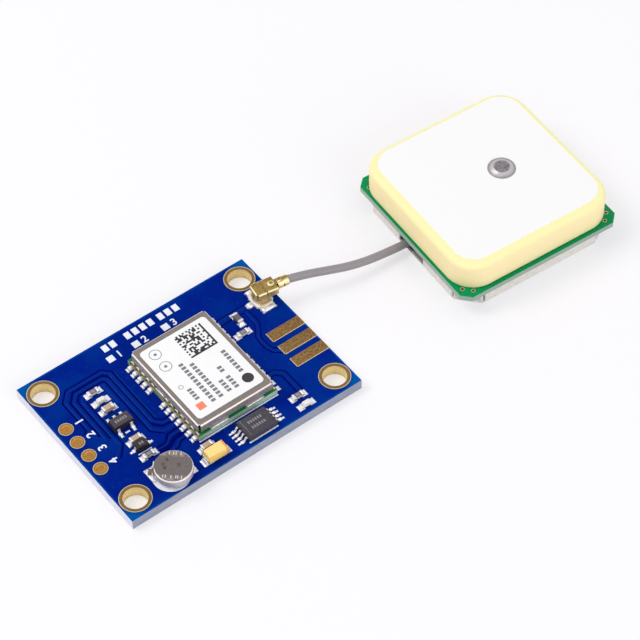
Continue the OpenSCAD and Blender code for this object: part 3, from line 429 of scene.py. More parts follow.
@dataclass(frozen=True)
class OutlinedBoardFinish(BoardFinish):
    """Board whose copper ends short of the outline and the corners, where the mask is paler.

    Attributes:
        strip: Colour of the mask with no copper under it.
        half: Half the board's length and width, in millimetres.
        strip_w: Width of the strip along the outline.
        corner: Sum of the distances from the centre where a corner's bare patch starts.
        strip_fade: Width over which the strip fades.
        strip_share: Share of the strip's colour along the outline.
        corner_fade: Half the width over which a corner's patch fades.
        corner_share: Share of the strip's colour at the corners.
        cloud: Blotches in each millimetre.
        cloud_share: Share of the strip's colour in a blotch.
    """

    strip: Colour = (0, 88, 170)
    half: Point = (17.7, 12.8)
    strip_w: float = 0.16
    corner: float = 28.3
    strip_fade: float = 0.15
    strip_share: float = 0.4
    corner_fade: float = 0.9
    corner_share: float = 0.9
    cloud: float = 0.2
    cloud_share: float = 0.12

    def mask(self, wiring: Wiring, base: Socket, spot: Node) -> Socket:
        """Adds the paler strip, the corners and soft blotches.

        Args:
            wiring: The material's wiring.
            base: The colour so far.
            spot: The material's coordinates.

        Returns:
            The colour to use.
        """
        place = spot.outputs["Object"]
        axes = wiring.split(place)
        away = [wiring.math("ABSOLUTE", axes[axis]) for axis in "XY"]
        near = []
        for reach, half in zip(away, self.half):
            start = half - self.strip_w
            near.append(wiring.span(reach, (start - self.strip_fade) * MM, start * MM, 0.0, self.strip_share))
        first, last = (self.corner - self.corner_fade) * MM, (self.corner + self.corner_fade) * MM
        corner = wiring.span(wiring.math("ADD", *away), first, last, 0.0, self.corner_share)
        bare = wiring.math("MAXIMUM", wiring.math("MAXIMUM", *near), corner)
        blotch = SharedGroup.BLOTCH.value_in(wiring, Vector=place, Scale=self.cloud / MM)
        cloudy = wiring.blend(wiring.math("MULTIPLY", blotch, self.cloud_share), base, linear(self.strip))
        return wiring.blend(bare, cloudy, linear(self.strip))


@dataclass(frozen=True)
class BandedFinish(FoldedFinish):
    """Moulded case with painted shade on its walls, a painted highlight on its bends and a coloured band across
    one end.

    Attributes:
        band: Colour of the band.
        band_x: Where the band starts, in millimetres.
        band_fade: Width over which it starts.
    """

    band: Colour = (235, 160, 80)
    band_x: float = 0.0
    band_fade: float = 0.08

    def paint(self, wiring: Wiring, base: Socket, spot: Node) -> Socket:
        """Adds the band.

        Args:
            wiring: The material's wiring.
            base: The colour so far.
            spot: The material's coordinates.

        Returns:
            The colour to use.
        """
        along = wiring.split(spot.outputs["Object"])["X"]
        share = wiring.span(along, self.band_x * MM, (self.band_x + self.band_fade) * MM)
        return wiring.blend(share, super().paint(wiring, base, spot), linear(self.band))


@dataclass(frozen=True)
class JacketFinish(Finish):
    """Thin clear-grey jacket through which the woven screen shows.

    Attributes:
        pitch: Length of one turn of the weave, in millimetres.
        strands: Strands that run each way.
    """

    pitch: float = 1.6
    strands: int = 6

    def pattern(self, wiring: Wiring, spot: Node) -> Socket:
        """Crossing helical strands, from the lead's own map.

        Args:
            wiring: The material's wiring.
            spot: The material's coordinates.

        Returns:
            The weave, from 0 to 1.
        """
        uv = wiring.split(spot.outputs["UV"])
        waves = []
        for turn in (1.0, -1.0):
            angle = wiring.math("MULTIPLY", uv["X"], 2 * math.pi * self.strands / (self.pitch * MM))
            around = wiring.math("MULTIPLY", uv["Y"], turn * 2 * math.pi * self.strands)
            waves.append(wiring.math("SINE", wiring.math("ADD", angle, around)))
        return wiring.span(wiring.math("MAXIMUM", *waves), -0.6, 1.0)


@dataclass(frozen=True)
class LensFinish(Finish):
    """Cloudy clear resin."""

    def special(self, surface: Node) -> None:
        """Lets light through.

        Args:
            surface: The material's shader.
        """
        surface.inputs["Transmission Weight"].default_value = 0.1
        surface.inputs["IOR"].default_value = 1.5
        surface.inputs["Subsurface Weight"].default_value = 0.2
        surface.inputs["Subsurface Radius"].default_value = (0.0004, 0.0004, 0.0004)


@dataclass(frozen=True)
class SoftCeramicFinish(Finish):
    """Fired ceramic that light enters a little way, with painted shade on its walls that turns softly into its
    top.

    Attributes:
        wall: Colour of the upright faces, with painted shade.
    """

    wall: Colour = (255, 236, 182)

    def paint(self, wiring: Wiring, base: Socket, spot: Node) -> Socket:
        """Blends the walls' painted shade into the top over the rounded edge.

        Args:
            wiring: The material's wiring.
            base: The colour so far.
            spot: The material's coordinates.

        Returns:
            The colour to use.
        """
        steep = wiring.math("ABSOLUTE", wiring.split(spot.outputs["Normal"])["Z"])
        rise = wiring.span(steep, 0.05, 0.85)
        return wiring.blend(rise, linear(self.wall), base)

    def special(self, surface: Node) -> None:
        """Lets light scatter under the surface."""
        surface.inputs["Subsurface Weight"].default_value = 0.08
        surface.inputs["Subsurface Radius"].default_value = (0.0006, 0.0005, 0.0003)


class Paint(Enum):
    """All finishes of the module."""

    # In the folded finishes the walls' colours carry painted light and shade, and the bends' colours a painted
    # highlight; in the board finishes the edge colours carry painted light and shade.
    MASK = OutlinedBoardFinish(
        "blue_mask", "solder_mask", (0, 29, 131), (0, 35, 137), (0.4, 0.5), specular=0.01, grain=1.5, bump=0.04,
        laminate=(246, 246, 252), y_edge_shading=(166, 170, 180),
    )
    MASK_LINE = Finish(
        "raised_mask", "solder_mask", (0, 44, 143), (0, 38, 138), (0.4, 0.5), specular=0.02, grain=3.0,
        bump=0.05,
    )
    MASK_GAP = Finish(
        "sunken_mask", "solder_mask", (0, 6, 98), (0, 11, 106), (0.45, 0.55), specular=0.01, grain=3.0,
        bump=0.05,
    )
    # Paler mask colour used as a painted highlight on the left edges of the upright copper lines.
    MASK_EDGE = Finish(
        "thin_mask", "solder_mask", (6, 66, 156), (0, 52, 146), (0.35, 0.5), specular=0.03, grain=3.0,
        bump=0.05,
    )
    GOLD = Finish(
        "flash_gold", "gold_plate", (176, 142, 76), (150, 116, 56), (0.24, 0.4), 1.0, grain=3.0, bump=0.15,
    )
    RING_GOLD = FoldedFinish(
        "ring_gold", "gold_plate", (136, 107, 59), (108, 83, 44), (0.35, 0.5), 0.2, grain=5.0, bump=0.15,
        wall=(255, 233, 168), fold_highlight=(205, 182, 138),
    )
    PAD_GOLD = FoldedFinish(
        "dull_gold", "gold_plate", (156, 122, 74), (104, 76, 40), (0.42, 0.6), 0.7, grain=3.0, bump=0.3,
        wall=(178, 140, 88), fold_highlight=(222, 198, 156),
    )
    # Painted highlight on the rims of the plated rings and contact pads; also the pale gold rings round the
    # antenna board's small holes.
    RIM_GOLD = Finish("worn_rim", "gold_plate", (226, 206, 164), (196, 172, 126), (0.35, 0.5), 0.6)
    AMBER_GOLD = FoldedFinish(
        "amber_gold", "gold_plate", (170, 130, 66), (138, 104, 52), (0.35, 0.5), 0.5, grain=5.0, bump=0.15,
        wall=(252, 206, 100), fold_highlight=(226, 200, 156),
    )
    PLUG_GOLD = FoldedFinish(
        "stamped_gold", "gold_plate", (172, 143, 82), (124, 99, 50), (0.35, 0.5), 0.6, grain=2.6, bump=0.4,
        wall=(216, 188, 128), fold_highlight=(250, 234, 186),
    )
    SOCKET_GOLD = FoldedFinish(
        "pale_gold", "gold_plate", (238, 222, 184), (214, 194, 148), (0.3, 0.45), 0.4, bump=0.2,
        wall=(250, 240, 212), fold_highlight=(255, 251, 236),
    )
    OLIVE_GOLD = Finish(
        "half_hole_gold", "gold_plate", (156, 136, 84), (126, 108, 66), (0.35, 0.5), 0.7, grain=6.0, bump=0.15,
    )
    TIN = Finish(
        "bright_tin", "tin_plate", (240, 238, 238), (206, 203, 205), (0.25, 0.45), 0.6, grain=5.0, bump=0.25,
    )
    SOLDER = Finish("reflowed_solder", "solder", (247, 246, 248), (216, 214, 219), (0.18, 0.36), 0.5, bump=0.3)
    NICKEL = FoldedFinish(
        "rolled_nickel", "nickel_sheet", (140, 130, 126), (127, 118, 114), (0.38, 0.52), 0.55, grain=6.0,
        stretch=(1.0, 0.12, 1.0), wall=(188, 178, 177),
    )
    TAB_NICKEL = FoldedFinish(
        "spotted_nickel", "nickel_sheet", (124, 116, 115), (104, 97, 96), (0.4, 0.55), 0.8, grain=7.0, bump=0.2,
        wall=(196, 188, 186), fold_highlight=(238, 233, 231),
    )
    CELL_STEEL = FoldedFinish(
        "cell_steel", "tin_plate", (158, 146, 140), (102, 91, 88), (0.35, 0.5), 0.4, grain=2.6, bump=0.25,
        wall=(196, 191, 200), fold_highlight=(242, 238, 236),
    )
    GREEN = BoardFinish(
        "green_mask", "green_board", (14, 122, 60), (34, 136, 74), (0.35, 0.45), specular=0.1, grain=3.0,
        bump=0.05, laminate=(150, 160, 140), y_edge_shading=(198, 220, 206),
    )
    ANTENNA_GREEN = BoardFinish(
        "antenna_mask", "green_board", (0, 150, 88), (0, 138, 78), (0.35, 0.45), specular=0.1, grain=3.0,
        bump=0.05, laminate=(176, 184, 178), y_edge_shading=(164, 174, 168),
    )
    PAPER = Finish(
        "white_paper", "paper_label", (252, 252, 252), (246, 246, 247), (0.6, 0.75), specular=0.1, grain=6.0,
        bump=0.08,
    )
    PRINT = Finish(
        "black_print", "paper_label", (58, 54, 60), (76, 72, 78), (0.5, 0.65), specular=0.1, grain=9.0,
        bump=0.05,
    )
    GREY_PRINT = Finish(
        "grey_print", "paper_label", (120, 120, 128), (150, 150, 158), (0.5, 0.65), specular=0.1, grain=9.0,
        bump=0.05,
    )
    CORAL_PRINT = Finish(
        "coral_print", "paper_label", (248, 132, 104), (252, 152, 124), (0.5, 0.65), specular=0.1, grain=8.0,
        bump=0.05,
    )
    SILK = Finish(
        "white_ink", "paper_label", (249, 251, 254), (234, 238, 246), (0.5, 0.65), specular=0.15, grain=7.0,
        bump=0.15,
    )
    CASE = Finish(
        "black_epoxy", "black_case", (60, 57, 65), (86, 83, 91), (0.45, 0.6), specular=0.15, grain=6.0,
        bump=0.5,
    )
    GREY_MARK = Finish(
        "grey_marking", "black_case", (152, 149, 156), (118, 115, 122), (0.5, 0.65), specular=0.1, grain=8.0,
    )
    DARK_CASE = FoldedFinish(
        "dark_epoxy", "black_case", (46, 38, 40), (66, 57, 58), (0.4, 0.55), specular=0.2, grain=6.0, bump=0.5,
        wall=(22, 18, 20), fold_highlight=(58, 51, 52),
    )
    REGULATOR_CASE = FoldedFinish(
        "brown_epoxy", "black_case", (62, 54, 60), (88, 79, 84), (0.45, 0.6), specular=0.15, grain=6.0,
        bump=0.5, wall=(26, 22, 28), fold_highlight=(78, 70, 75),
    )
    WELD = Finish("weld_marks", "nickel_sheet", (88, 80, 76), (70, 63, 58), (0.4, 0.55), 0.6, grain=6.0, bump=0.3)
    YELLOW = BandedFinish(
        "yellow_epoxy", "yellow_case", (255, 228, 148), (252, 219, 135), (0.4, 0.55), specular=0.2, grain=6.0,
        bump=0.12, wall=(246, 200, 98), fold_highlight=(255, 231, 158), band=(242, 170, 92), band_x=-2.8,
    )
    TAN = Finish(
        "capacitor_body", "tan_ceramic", (206, 180, 154), (192, 164, 138), (0.35, 0.5), specular=0.2, grain=6.0,
    )
    ALUMINA = Finish("alumina", "white_ceramic", (232, 230, 228), (212, 210, 208), (0.4, 0.55), grain=7.0)
    GLASS = Finish(
        "resistor_glass", "glass_coat", (92, 88, 93), (112, 108, 113), (0.3, 0.45), specular=0.25, grain=6.0,
        bump=0.15,
    )
    PALE_GLASS = Finish(
        "resistor_panel", "glass_coat", (156, 152, 155), (136, 132, 136), (0.3, 0.45), specular=0.25, grain=8.0,
        bump=0.2,
    )
    LENS = LensFinish(
        "cloudy_lens", "clear_lens", (253, 251, 247), (246, 243, 236), (0.2, 0.35), specular=0.4, grain=3.0,
        bump=0.05,
    )
    DIE = Finish("die_face", "light_die", (232, 216, 96), (216, 196, 70), (0.3, 0.5), grain=9.0)
    CREAM = Finish(
        "socket_plastic", "cream_plastic", (255, 252, 246), (248, 243, 234), (0.35, 0.5), specular=0.2,
        grain=5.0,
    )
    JACKET = JacketFinish(
        "jacket_skin", "lead_jacket", (158, 152, 156), (138, 133, 137), (0.28, 0.4), specular=0.35, bump=0.12,
        coat=0.2,
    )
    COPPER = Finish("drawn_copper", "bare_copper", (184, 116, 72), (160, 92, 54), (0.25, 0.4), 1.0, grain=6.0)
    CERAMIC = SoftCeramicFinish(
        "patch_body", "cream_ceramic", (255, 250, 190), (254, 246, 182), (0.5, 0.62), specular=0.15, grain=3.0,
        bump=0.08,
    )
    SILVER = Finish(
        "silver_paste", "fired_silver", (252, 252, 252), (248, 248, 248), (0.6, 0.75), specular=0.1, grain=5.0,
        bump=0.12,
    )
    FEED = FoldedFinish(
        "feed_metal", "tin_plate", (150, 145, 148), (108, 103, 106), (0.3, 0.5), 0.6, grain=2.2, bump=0.7,
        wall=(168, 164, 168), fold_highlight=(196, 193, 196),
    )
    TRAY = Finish(
        "tinned_tray", "tray_sheet", (234, 230, 223), (218, 213, 206), (0.4, 0.52), 0.4, grain=2.0, bump=0.06,
    )
    LUMPY = Finish(
        "lumpy_solder", "solder", (240, 240, 244), (118, 114, 114), (0.2, 0.45), 0.5, grain=2.2, bump=0.8,
    )

    @property
    def material(self) -> bpy.types.Material:
        """The finish's material, made at its first use."""
        return bpy.data.materials.get(self.value.name) or self.value.build()


class Bench:
    """Turns meshes into finished pieces that ride on the module."""

    @staticmethod
    def link(name: str, data: bpy.types.ID) -> Piece:
        """Makes an object and puts it in the scene.

        Args:
            name: Name of the object.
            data: What it holds.

        Returns:
            The object.
        """
        obj = bpy.data.objects.new(name, data)
        bpy.context.scene.collection.objects.link(obj)
        return obj

    @classmethod
    def freeze(cls, obj: Piece) -> Piece:
        """Turns an object's evaluated shape into a plain mesh and drops its modifiers.

        Args:
            obj: The object, with its modifiers set.

        Returns:
            A mesh object of the same name.
        """
        graph = bpy.context.evaluated_depsgraph_get()
        mesh = bpy.data.meshes.new_from_object(obj.evaluated_get(graph), depsgraph=graph)
        name = obj.name
        bpy.data.objects.remove(obj)
        return cls.link(name, mesh)

    @classmethod
    def from_bmesh(cls, name: str, bm: Mesh) -> Piece:
        """Makes a linked mesh object and frees the bmesh.

        Args:
            name: Name of the object.
            bm: Its mesh.

        Returns:
            The object.
        """
        mesh = bpy.data.meshes.new(name)
        bm.to_mesh(mesh)
        bm.free()
        return cls.link(name, mesh)

    @staticmethod
    def fit(obj: Piece, paint: Paint, nodes: Sequence[str] = ()) -> Piece:
        """Finishes a piece: material, body and the nodes it stands for.

        Args:
            obj: The piece.
            paint: Its finish.
            nodes: Names of the CAD nodes that it stands for.

        Returns:
            The piece.
        """
        obj.data.materials.clear()
        obj.data.materials.append(paint.material)
        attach(obj, BODY)
        if nodes:
            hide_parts(*nodes)
        LOG.info("%s: %d faces, %s", obj.name, len(obj.data.polygons), paint.value.name)
        return obj

    @classmethod
    def piece(
        cls, name: str, bm: Mesh, paint: Paint, nodes: Sequence[str] = (), smooth: float | None = None
    ) -> Piece:
        """Makes a finished piece of a bmesh.

        Args:
            name: Name of the piece.
            bm: Its mesh, which is freed.
            paint: Its finish.
            nodes: Names of the CAD nodes that it stands for.
            smooth: Angle of the sharpest edge that is shaded smooth, in degrees, where any is.

        Returns:
            The piece.
        """
        obj = cls.from_bmesh(name, bm)
        if smooth is not None:
            obj.data.shade_smooth()
            obj.data.set_sharp_from_angle(angle=math.radians(smooth))
        return cls.fit(obj, paint, nodes)

    @staticmethod
    def coat(paint: Paint, *nodes: str) -> None:
        """Gives CAD nodes that stay as they are their material.

        Args:
            paint: The finish.
            *nodes: Names of the nodes.
        """
        for node in nodes:
            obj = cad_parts[node]
            obj.data.materials.clear()
            obj.data.materials.append(paint.material)

    @staticmethod
    def merged(node: str) -> Mesh:
        """Copy of a CAD node's mesh with its vertices joined.

        Args:
            node: The CAD node.

        Returns:
            The copy.
        """
        bm = bmesh.new()
        bm.from_mesh(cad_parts[node].data)
        bmesh.ops.remove_doubles(bm, verts=bm.verts, dist=MERGE)
        return bm

    @classmethod
    def soften(cls, node: str, name: str, paint: Paint, radius: float, segments: int = 3) -> Piece:
        """Copy of a CAD node with its edges broken, which stands for the node.

        Args:
            node: The CAD node.
            name: Name of the new piece.
            paint: Its finish.
            radius: Width of the broken edge, in millimetres.
            segments: Faces across a broken edge.

        Returns:
            The finished piece.
        """
        bm = cls.merged(node)
        bmesh.ops.dissolve_limit(bm, angle_limit=math.radians(FLAT_ANGLE), verts=bm.verts, edges=bm.edges)
        obj = cls.from_bmesh(name, bm)
        obj.data.shade_smooth()
        bevel = obj.modifiers.new("broken_edges", "BEVEL")
        bevel.width = radius * MM
        bevel.segments = segments
        bevel.limit_method = "ANGLE"
        bevel.angle_limit = math.radians(SHARP_ANGLE)
        bevel.harden_normals = True
        obj = cls.freeze(obj)
        return cls.fit(obj, paint, [node])


@dataclass
class Island:
    """One separate solid of a CAD node.

    Attributes:
        low: Lowest corner, in metres.
        high: Highest corner, in metres.
        points: All its corners.
    """

    low: Vector
    high: Vector
    points: list[Vector]

    @property
    def centre(self) -> Vector:
        """Middle of the solid's box."""
        return (self.low + self.high) / 2

    @property
    def size(self) -> Vector:
        """Size of the solid's box."""
        return self.high - self.low

    @staticmethod
    def of(node: str) -> list["Island"]:
        """Splits a CAD node into its separate solids.

        Args:
            node: The CAD node.

        Returns:
            Its solids, from left to right and front to back.
        """
        bm = Bench.merged(node)
        left = set(bm.verts)
        found = []
        while left:
            group, edge = set(), [left.pop()]
            while edge:
                vert = edge.pop()
                group.add(vert)
                new = {e.other_vert(vert) for e in vert.link_edges} & left
                left -= new
                edge.extend(new)
            points = [vert.co.copy() for vert in group]
            low = Vector(min(p[i] for p in points) for i in range(3))
            high = Vector(max(p[i] for p in points) for i in range(3))
            found.append(Island(low, high, points))
        bm.free()
        return sorted(found, key=lambda s: (round(s.low.x, 6), round(s.low.y, 6), round(s.low.z, 6)))


class Shapes:
    """Small meshes that pieces are put together from."""

    @staticmethod
    def rounded_box(bm: Mesh, low: Vector, high: Vector, radius: float) -> None:
        """Adds a box with round edges.

        Args:
            bm: Mesh to add to.
            low: Lowest corner, in metres.
            high: Highest corner, in metres.
            radius: Radius of the edges, in millimetres.
        """
        size = high - low
        made = bmesh.ops.create_cube(bm, size=1.0)["verts"]
        for vert in made:
            vert.co = Vector(low[i] + (vert.co[i] + 0.5) * size[i] for i in range(3))
        edges = list({edge for vert in made for edge in vert.link_edges})
        offset = min(radius * MM, min(size) * 0.45)
        bmesh.ops.bevel(bm, geom=edges, offset=offset, segments=3, profile=0.5, affect="EDGES")

    @staticmethod
    def prism(bm: Mesh, outline: Sequence[Point], low: float, high: float) -> None:
        """Adds an upright prism over an outline.

        Args:
            bm: Mesh to add to.
            outline: Corners in order, in millimetres.
            low: Height of its foot, in millimetres.
            high: Height of its top, in millimetres.
        """
        foot = [bm.verts.new((x * MM, y * MM, low * MM)) for x, y in outline]
        top = [bm.verts.new((x * MM, y * MM, high * MM)) for x, y in outline]
        count = len(outline)
        bm.faces.new(foot[::-1])
        bm.faces.new(top)
        for i in range(count):
            j = (i + 1) % count
            bm.faces.new((foot[i], foot[j], top[j], top[i]))

    @staticmethod
    def bar(bm: Mesh, x: float, y: float, length: float, width: float, low: float, high: float) -> None:
        """Adds a flat bar centred at a place, all in millimetres."""
        a, b = length / 2, width / 2
        Shapes.prism(bm, [(x - a, y - b), (x + a, y - b), (x + a, y + b), (x - a, y + b)], low, high)

    @staticmethod
    def disc(bm: Mesh, x: float, y: float, radius: float, low: float, high: float, steps: int = 72) -> None:
        """Adds a flat disc, all in millimetres."""
        turns = [2 * math.pi * i / steps for i in range(steps)]
        Shapes.prism(bm, [(x + radius * math.cos(a), y + radius * math.sin(a)) for a in turns], low, high)

    @staticmethod
    def ring(bm: Mesh, x: float, y: float, radius: float, z: float, steps: int) -> list[bmesh.types.BMVert]:
        """Adds the corners of a level circle, all in millimetres.

        Args:
            bm: Mesh to add to.
            x: Place of the centre.
            y: Place of the centre.
            radius: Its radius.
            z: Its height.
            steps: Corners around it.

        Returns:
            The corners in order.
        """
        corners = []
        for i in range(steps):
            a = 2 * math.pi * i / steps
            spot = (x + radius * math.cos(a), y + radius * math.sin(a), z)
            corners.append(bm.verts.new([value * MM for value in spot]))
        return corners

    @staticmethod
    def hoop(bm: Mesh, x: float, y: float, radius: float, line: float, low: float, high: float) -> None:
        """Adds a flat ring of a line's width, all in millimetres.

        Args:
            bm: Mesh to add to.
            x: Place of the centre.
            y: Place of the centre.
            radius: Its radius.
            line: Width of the line.
            low: Height of its foot.
            high: Height of its top.
        """
        steps = 64
        inside, outside = radius - line / 2, radius + line / 2
        section = ((inside, low), (outside, low), (outside, high), (inside, high))
        rows = [Shapes.ring(bm, x, y, reach, z, steps) for reach, z in section]
        for k in range(4):
            inner, outer = rows[k], rows[(k + 1) % 4]
            for i in range(steps):
                j = (i + 1) % steps
                bm.faces.new((inner[i], inner[j], outer[j], outer[i]))

    @staticmethod
    def numeral(bm: Mesh, text: str, height: float, place: Matrix, depth: float) -> None:
        """Adds a plain numeral.

        Args:
            bm: Mesh to add to.
            text: The numeral.
            height: Height of the figure, in millimetres.
            place: Where it lies, in metres.
            depth: Thickness of the ink, in millimetres.
        """
        curve = bpy.data.curves.new("numeral", "FONT")
        curve.body = text
        curve.size = height * 1.4 * MM
        curve.extrude = depth * MM / 2
        curve.offset = 0.03 * MM
        curve.resolution_u = 3
        curve.align_x, curve.align_y = "CENTER", "CENTER"
        flat = Bench.freeze(Bench.link("numeral", curve))
        flat.data.transform(place)
        start = len(bm.verts)
        bm.from_mesh(flat.data)
        bm.verts.ensure_lookup_table()
        bmesh.ops.remove_doubles(bm, verts=bm.verts[start:], dist=2 * MERGE)
        bpy.data.objects.remove(flat)

    @staticmethod
    def lathe(bm: Mesh, x: float, y: float, profile: Sequence[Point], steps: int = 64) -> None:
        """Adds a turned solid on an upright axis.

        Args:
            bm: Mesh to add to.
            x: Place of the axis, in millimetres.
            y: Place of the axis, in millimetres.
            profile: Radius and height from the upper pole to the lower one, in millimetres.
            steps: Faces around the axis.
        """
        top, *rings, foot = profile
        pole = bm.verts.new((x * MM, y * MM, top[1] * MM))
        rows = [Shapes.ring(bm, x, y, radius, z, steps) for radius, z in rings]
        end = bm.verts.new((x * MM, y * MM, foot[1] * MM))
        for i in range(steps):
            j = (i + 1) % steps
            bm.faces.new((pole, rows[0][i], rows[0][j]))
            for upper, lower in zip(rows, rows[1:]):
                bm.faces.new((upper[i], lower[i], lower[j], upper[j]))
            bm.faces.new((end, rows[-1][j], rows[-1][i]))

    @staticmethod
    def lumps(bm: Mesh, corner: Vector, across: Vector, out: Vector, height: float, chance: random.Random) -> None:
        """Adds an upright patch of lumps, all in millimetres.

        Args:
            bm: Mesh to add to.
            corner: Lower corner of the patch.
            across: The patch's width as a vector.
            out: Unit vector away from the plate under the patch.
            height: Height of the patch.
            chance: Source of the lumps' places and sizes.
        """
        columns, rows = 28, 12
        peaks = [
            (chance.random(), chance.random(), chance.uniform(0.06, 0.14), chance.uniform(0.14, 0.36))
            for _ in range(14)
        ]
        sheets = []
        for back in (True, False):
            sheet = []
            for j in range(rows + 1):
                v = j / rows
                line = []
                for i in range(columns + 1):
                    u = i / columns
                    taper = min(1.0, 8 * u, 8 * (1 - u), 5 * v, 5 * (1 - v))
                    rise = max(
                        h * math.exp(-((u - x) ** 2 + (0.5 * (v - y)) ** 2) / (r * r)) for x, y, r, h in peaks
                    )
                    reach = -0.05 if back else -0.02 + taper * (0.03 + rise)
                    spot = corner + across * u + Vector((0.0, 0.0, height * v)) + out * reach
                    line.append(bm.verts.new(spot * MM))
                sheet.append(line)
            sheets.append(sheet)
        rear, face = sheets
        for j in range(rows):
            for i in range(columns):
                bm.faces.new((face[j][i], face[j][i + 1], face[j + 1][i + 1], face[j + 1][i]))
                bm.faces.new((rear[j][i], rear[j + 1][i], rear[j + 1][i + 1], rear[j][i + 1]))
        for i in range(columns):
            bm.faces.new((rear[0][i], rear[0][i + 1], face[0][i + 1], face[0][i]))
            bm.faces.new((face[rows][i], face[rows][i + 1], rear[rows][i + 1], rear[rows][i]))
        for j in range(rows):
            bm.faces.new((face[j][0], face[j + 1][0], rear[j + 1][0], rear[j][0]))
            bm.faces.new((rear[j][columns], rear[j + 1][columns], face[j + 1][columns], face[j][columns]))

    @staticmethod
    def half_hole(radius: float, wall: float, land: float, height: float, film: float) -> Mesh:
        """Plating of half a hole at a board's edge, which lies along Y at x = 0 with the board at -X.

        Args:
            radius: Radius of the half hole, in millimetres.
            wall: Thickness of the plating.
            land: Width of the land on the board's upper face.
            height: Height of the board.
            film: Thickness of the land.

        Returns:
            The closed mesh, with its foot at z = 0 and one unit for each millimetre.
        """
        bm = bmesh.new()
        section = [
            (radius - wall, 0.0), (radius - wall, height + film), (radius + land, height + film),
            (radius + land, height), (radius, height), (radius, 0.0),
        ]
        steps = 12
        rows = []
        for i in range(steps + 1):
            a = math.pi / 2 + math.pi * i / steps
            rows.append([bm.verts.new((r * math.cos(a), r * math.sin(a), z)) for r, z in section])
        count = len(section)
        for here, there in zip(rows, rows[1:]):
            for k in range(count):
                n = (k + 1) % count
                bm.faces.new((here[k], here[n], there[n], there[k]))
        bm.faces.new(rows[0][::-1])
        bm.faces.new(rows[-1])
        bmesh.ops.recalc_face_normals(bm, faces=bm.faces)
        return bm

    @staticmethod
    def mound() -> Mesh:
        """Low cushion on a rounded square of side 1, with height 1.

        Returns:
            The closed mesh.
        """
        bm = bmesh.new()
        rings, steps = 7, 28
        centre = bm.verts.new((0, 0, 1))
        rows = []
        for r in range(1, rings + 1):
            share = r / rings
            height = (1 - share**2.4) ** 0.55
            row = []
            for s in range(steps):
                a = 2 * math.pi * s / steps
                c, d = math.cos(a), math.sin(a)
                reach = 0.5 * share / (abs(c) ** 4 + abs(d) ** 4) ** 0.25
                row.append(bm.verts.new((reach * c, reach * d, height)))
            rows.append(row)
        for s in range(steps):
            bm.faces.new((centre, rows[0][s], rows[0][(s + 1) % steps]))
        for inner, outer in zip(rows, rows[1:]):
            for s in range(steps):
                t = (s + 1) % steps
                bm.faces.new((inner[s], outer[s], outer[t], inner[t]))
        bm.faces.new(rows[-1][::-1])
        return bm

    @staticmethod
    def fillet() -> Mesh:
        """Concave solder against a wall at x = 0, of length, width and height 1.

        Returns:
            The closed mesh.
        """
        bm = bmesh.new()
        across, out = 10, 8
        rows = []
        for i in range(out + 1):
            u = i / out
            half = 0.5 - 0.06 * math.sin(math.pi * u / 2)
            row = []
            for j in range(across + 1):
                v = 2 * j / across - 1
                height = (1 - u) ** 2.2 * (1 - 0.45 * abs(v) ** 5) + 0.05 * (1 - abs(v) ** 4) * (1 - u)
                row.append(bm.verts.new((u, v * half, max(height, 0.0))))
            rows.append(row)
        foot = [[bm.verts.new((v.co.x, v.co.y, -0.05)) for v in row] for row in rows]
        for i in range(out):
            for j in range(across):
                bm.faces.new((rows[i][j], rows[i + 1][j], rows[i + 1][j + 1], rows[i][j + 1]))
                bm.faces.new((foot[i][j], foot[i][j + 1], foot[i + 1][j + 1], foot[i + 1][j]))
        around = [(i, 0) for i in range(out + 1)] + [(out, j) for j in range(1, across + 1)]
        around += [(i, across) for i in range(out - 1, -1, -1)] + [(0, j) for j in range(across - 1, 0, -1)]
        for (i, j), (k, n) in zip(around, around[1:] + around[:1]):
            bm.faces.new((rows[i][j], foot[i][j], foot[k][n], rows[k][n]))
        return bm


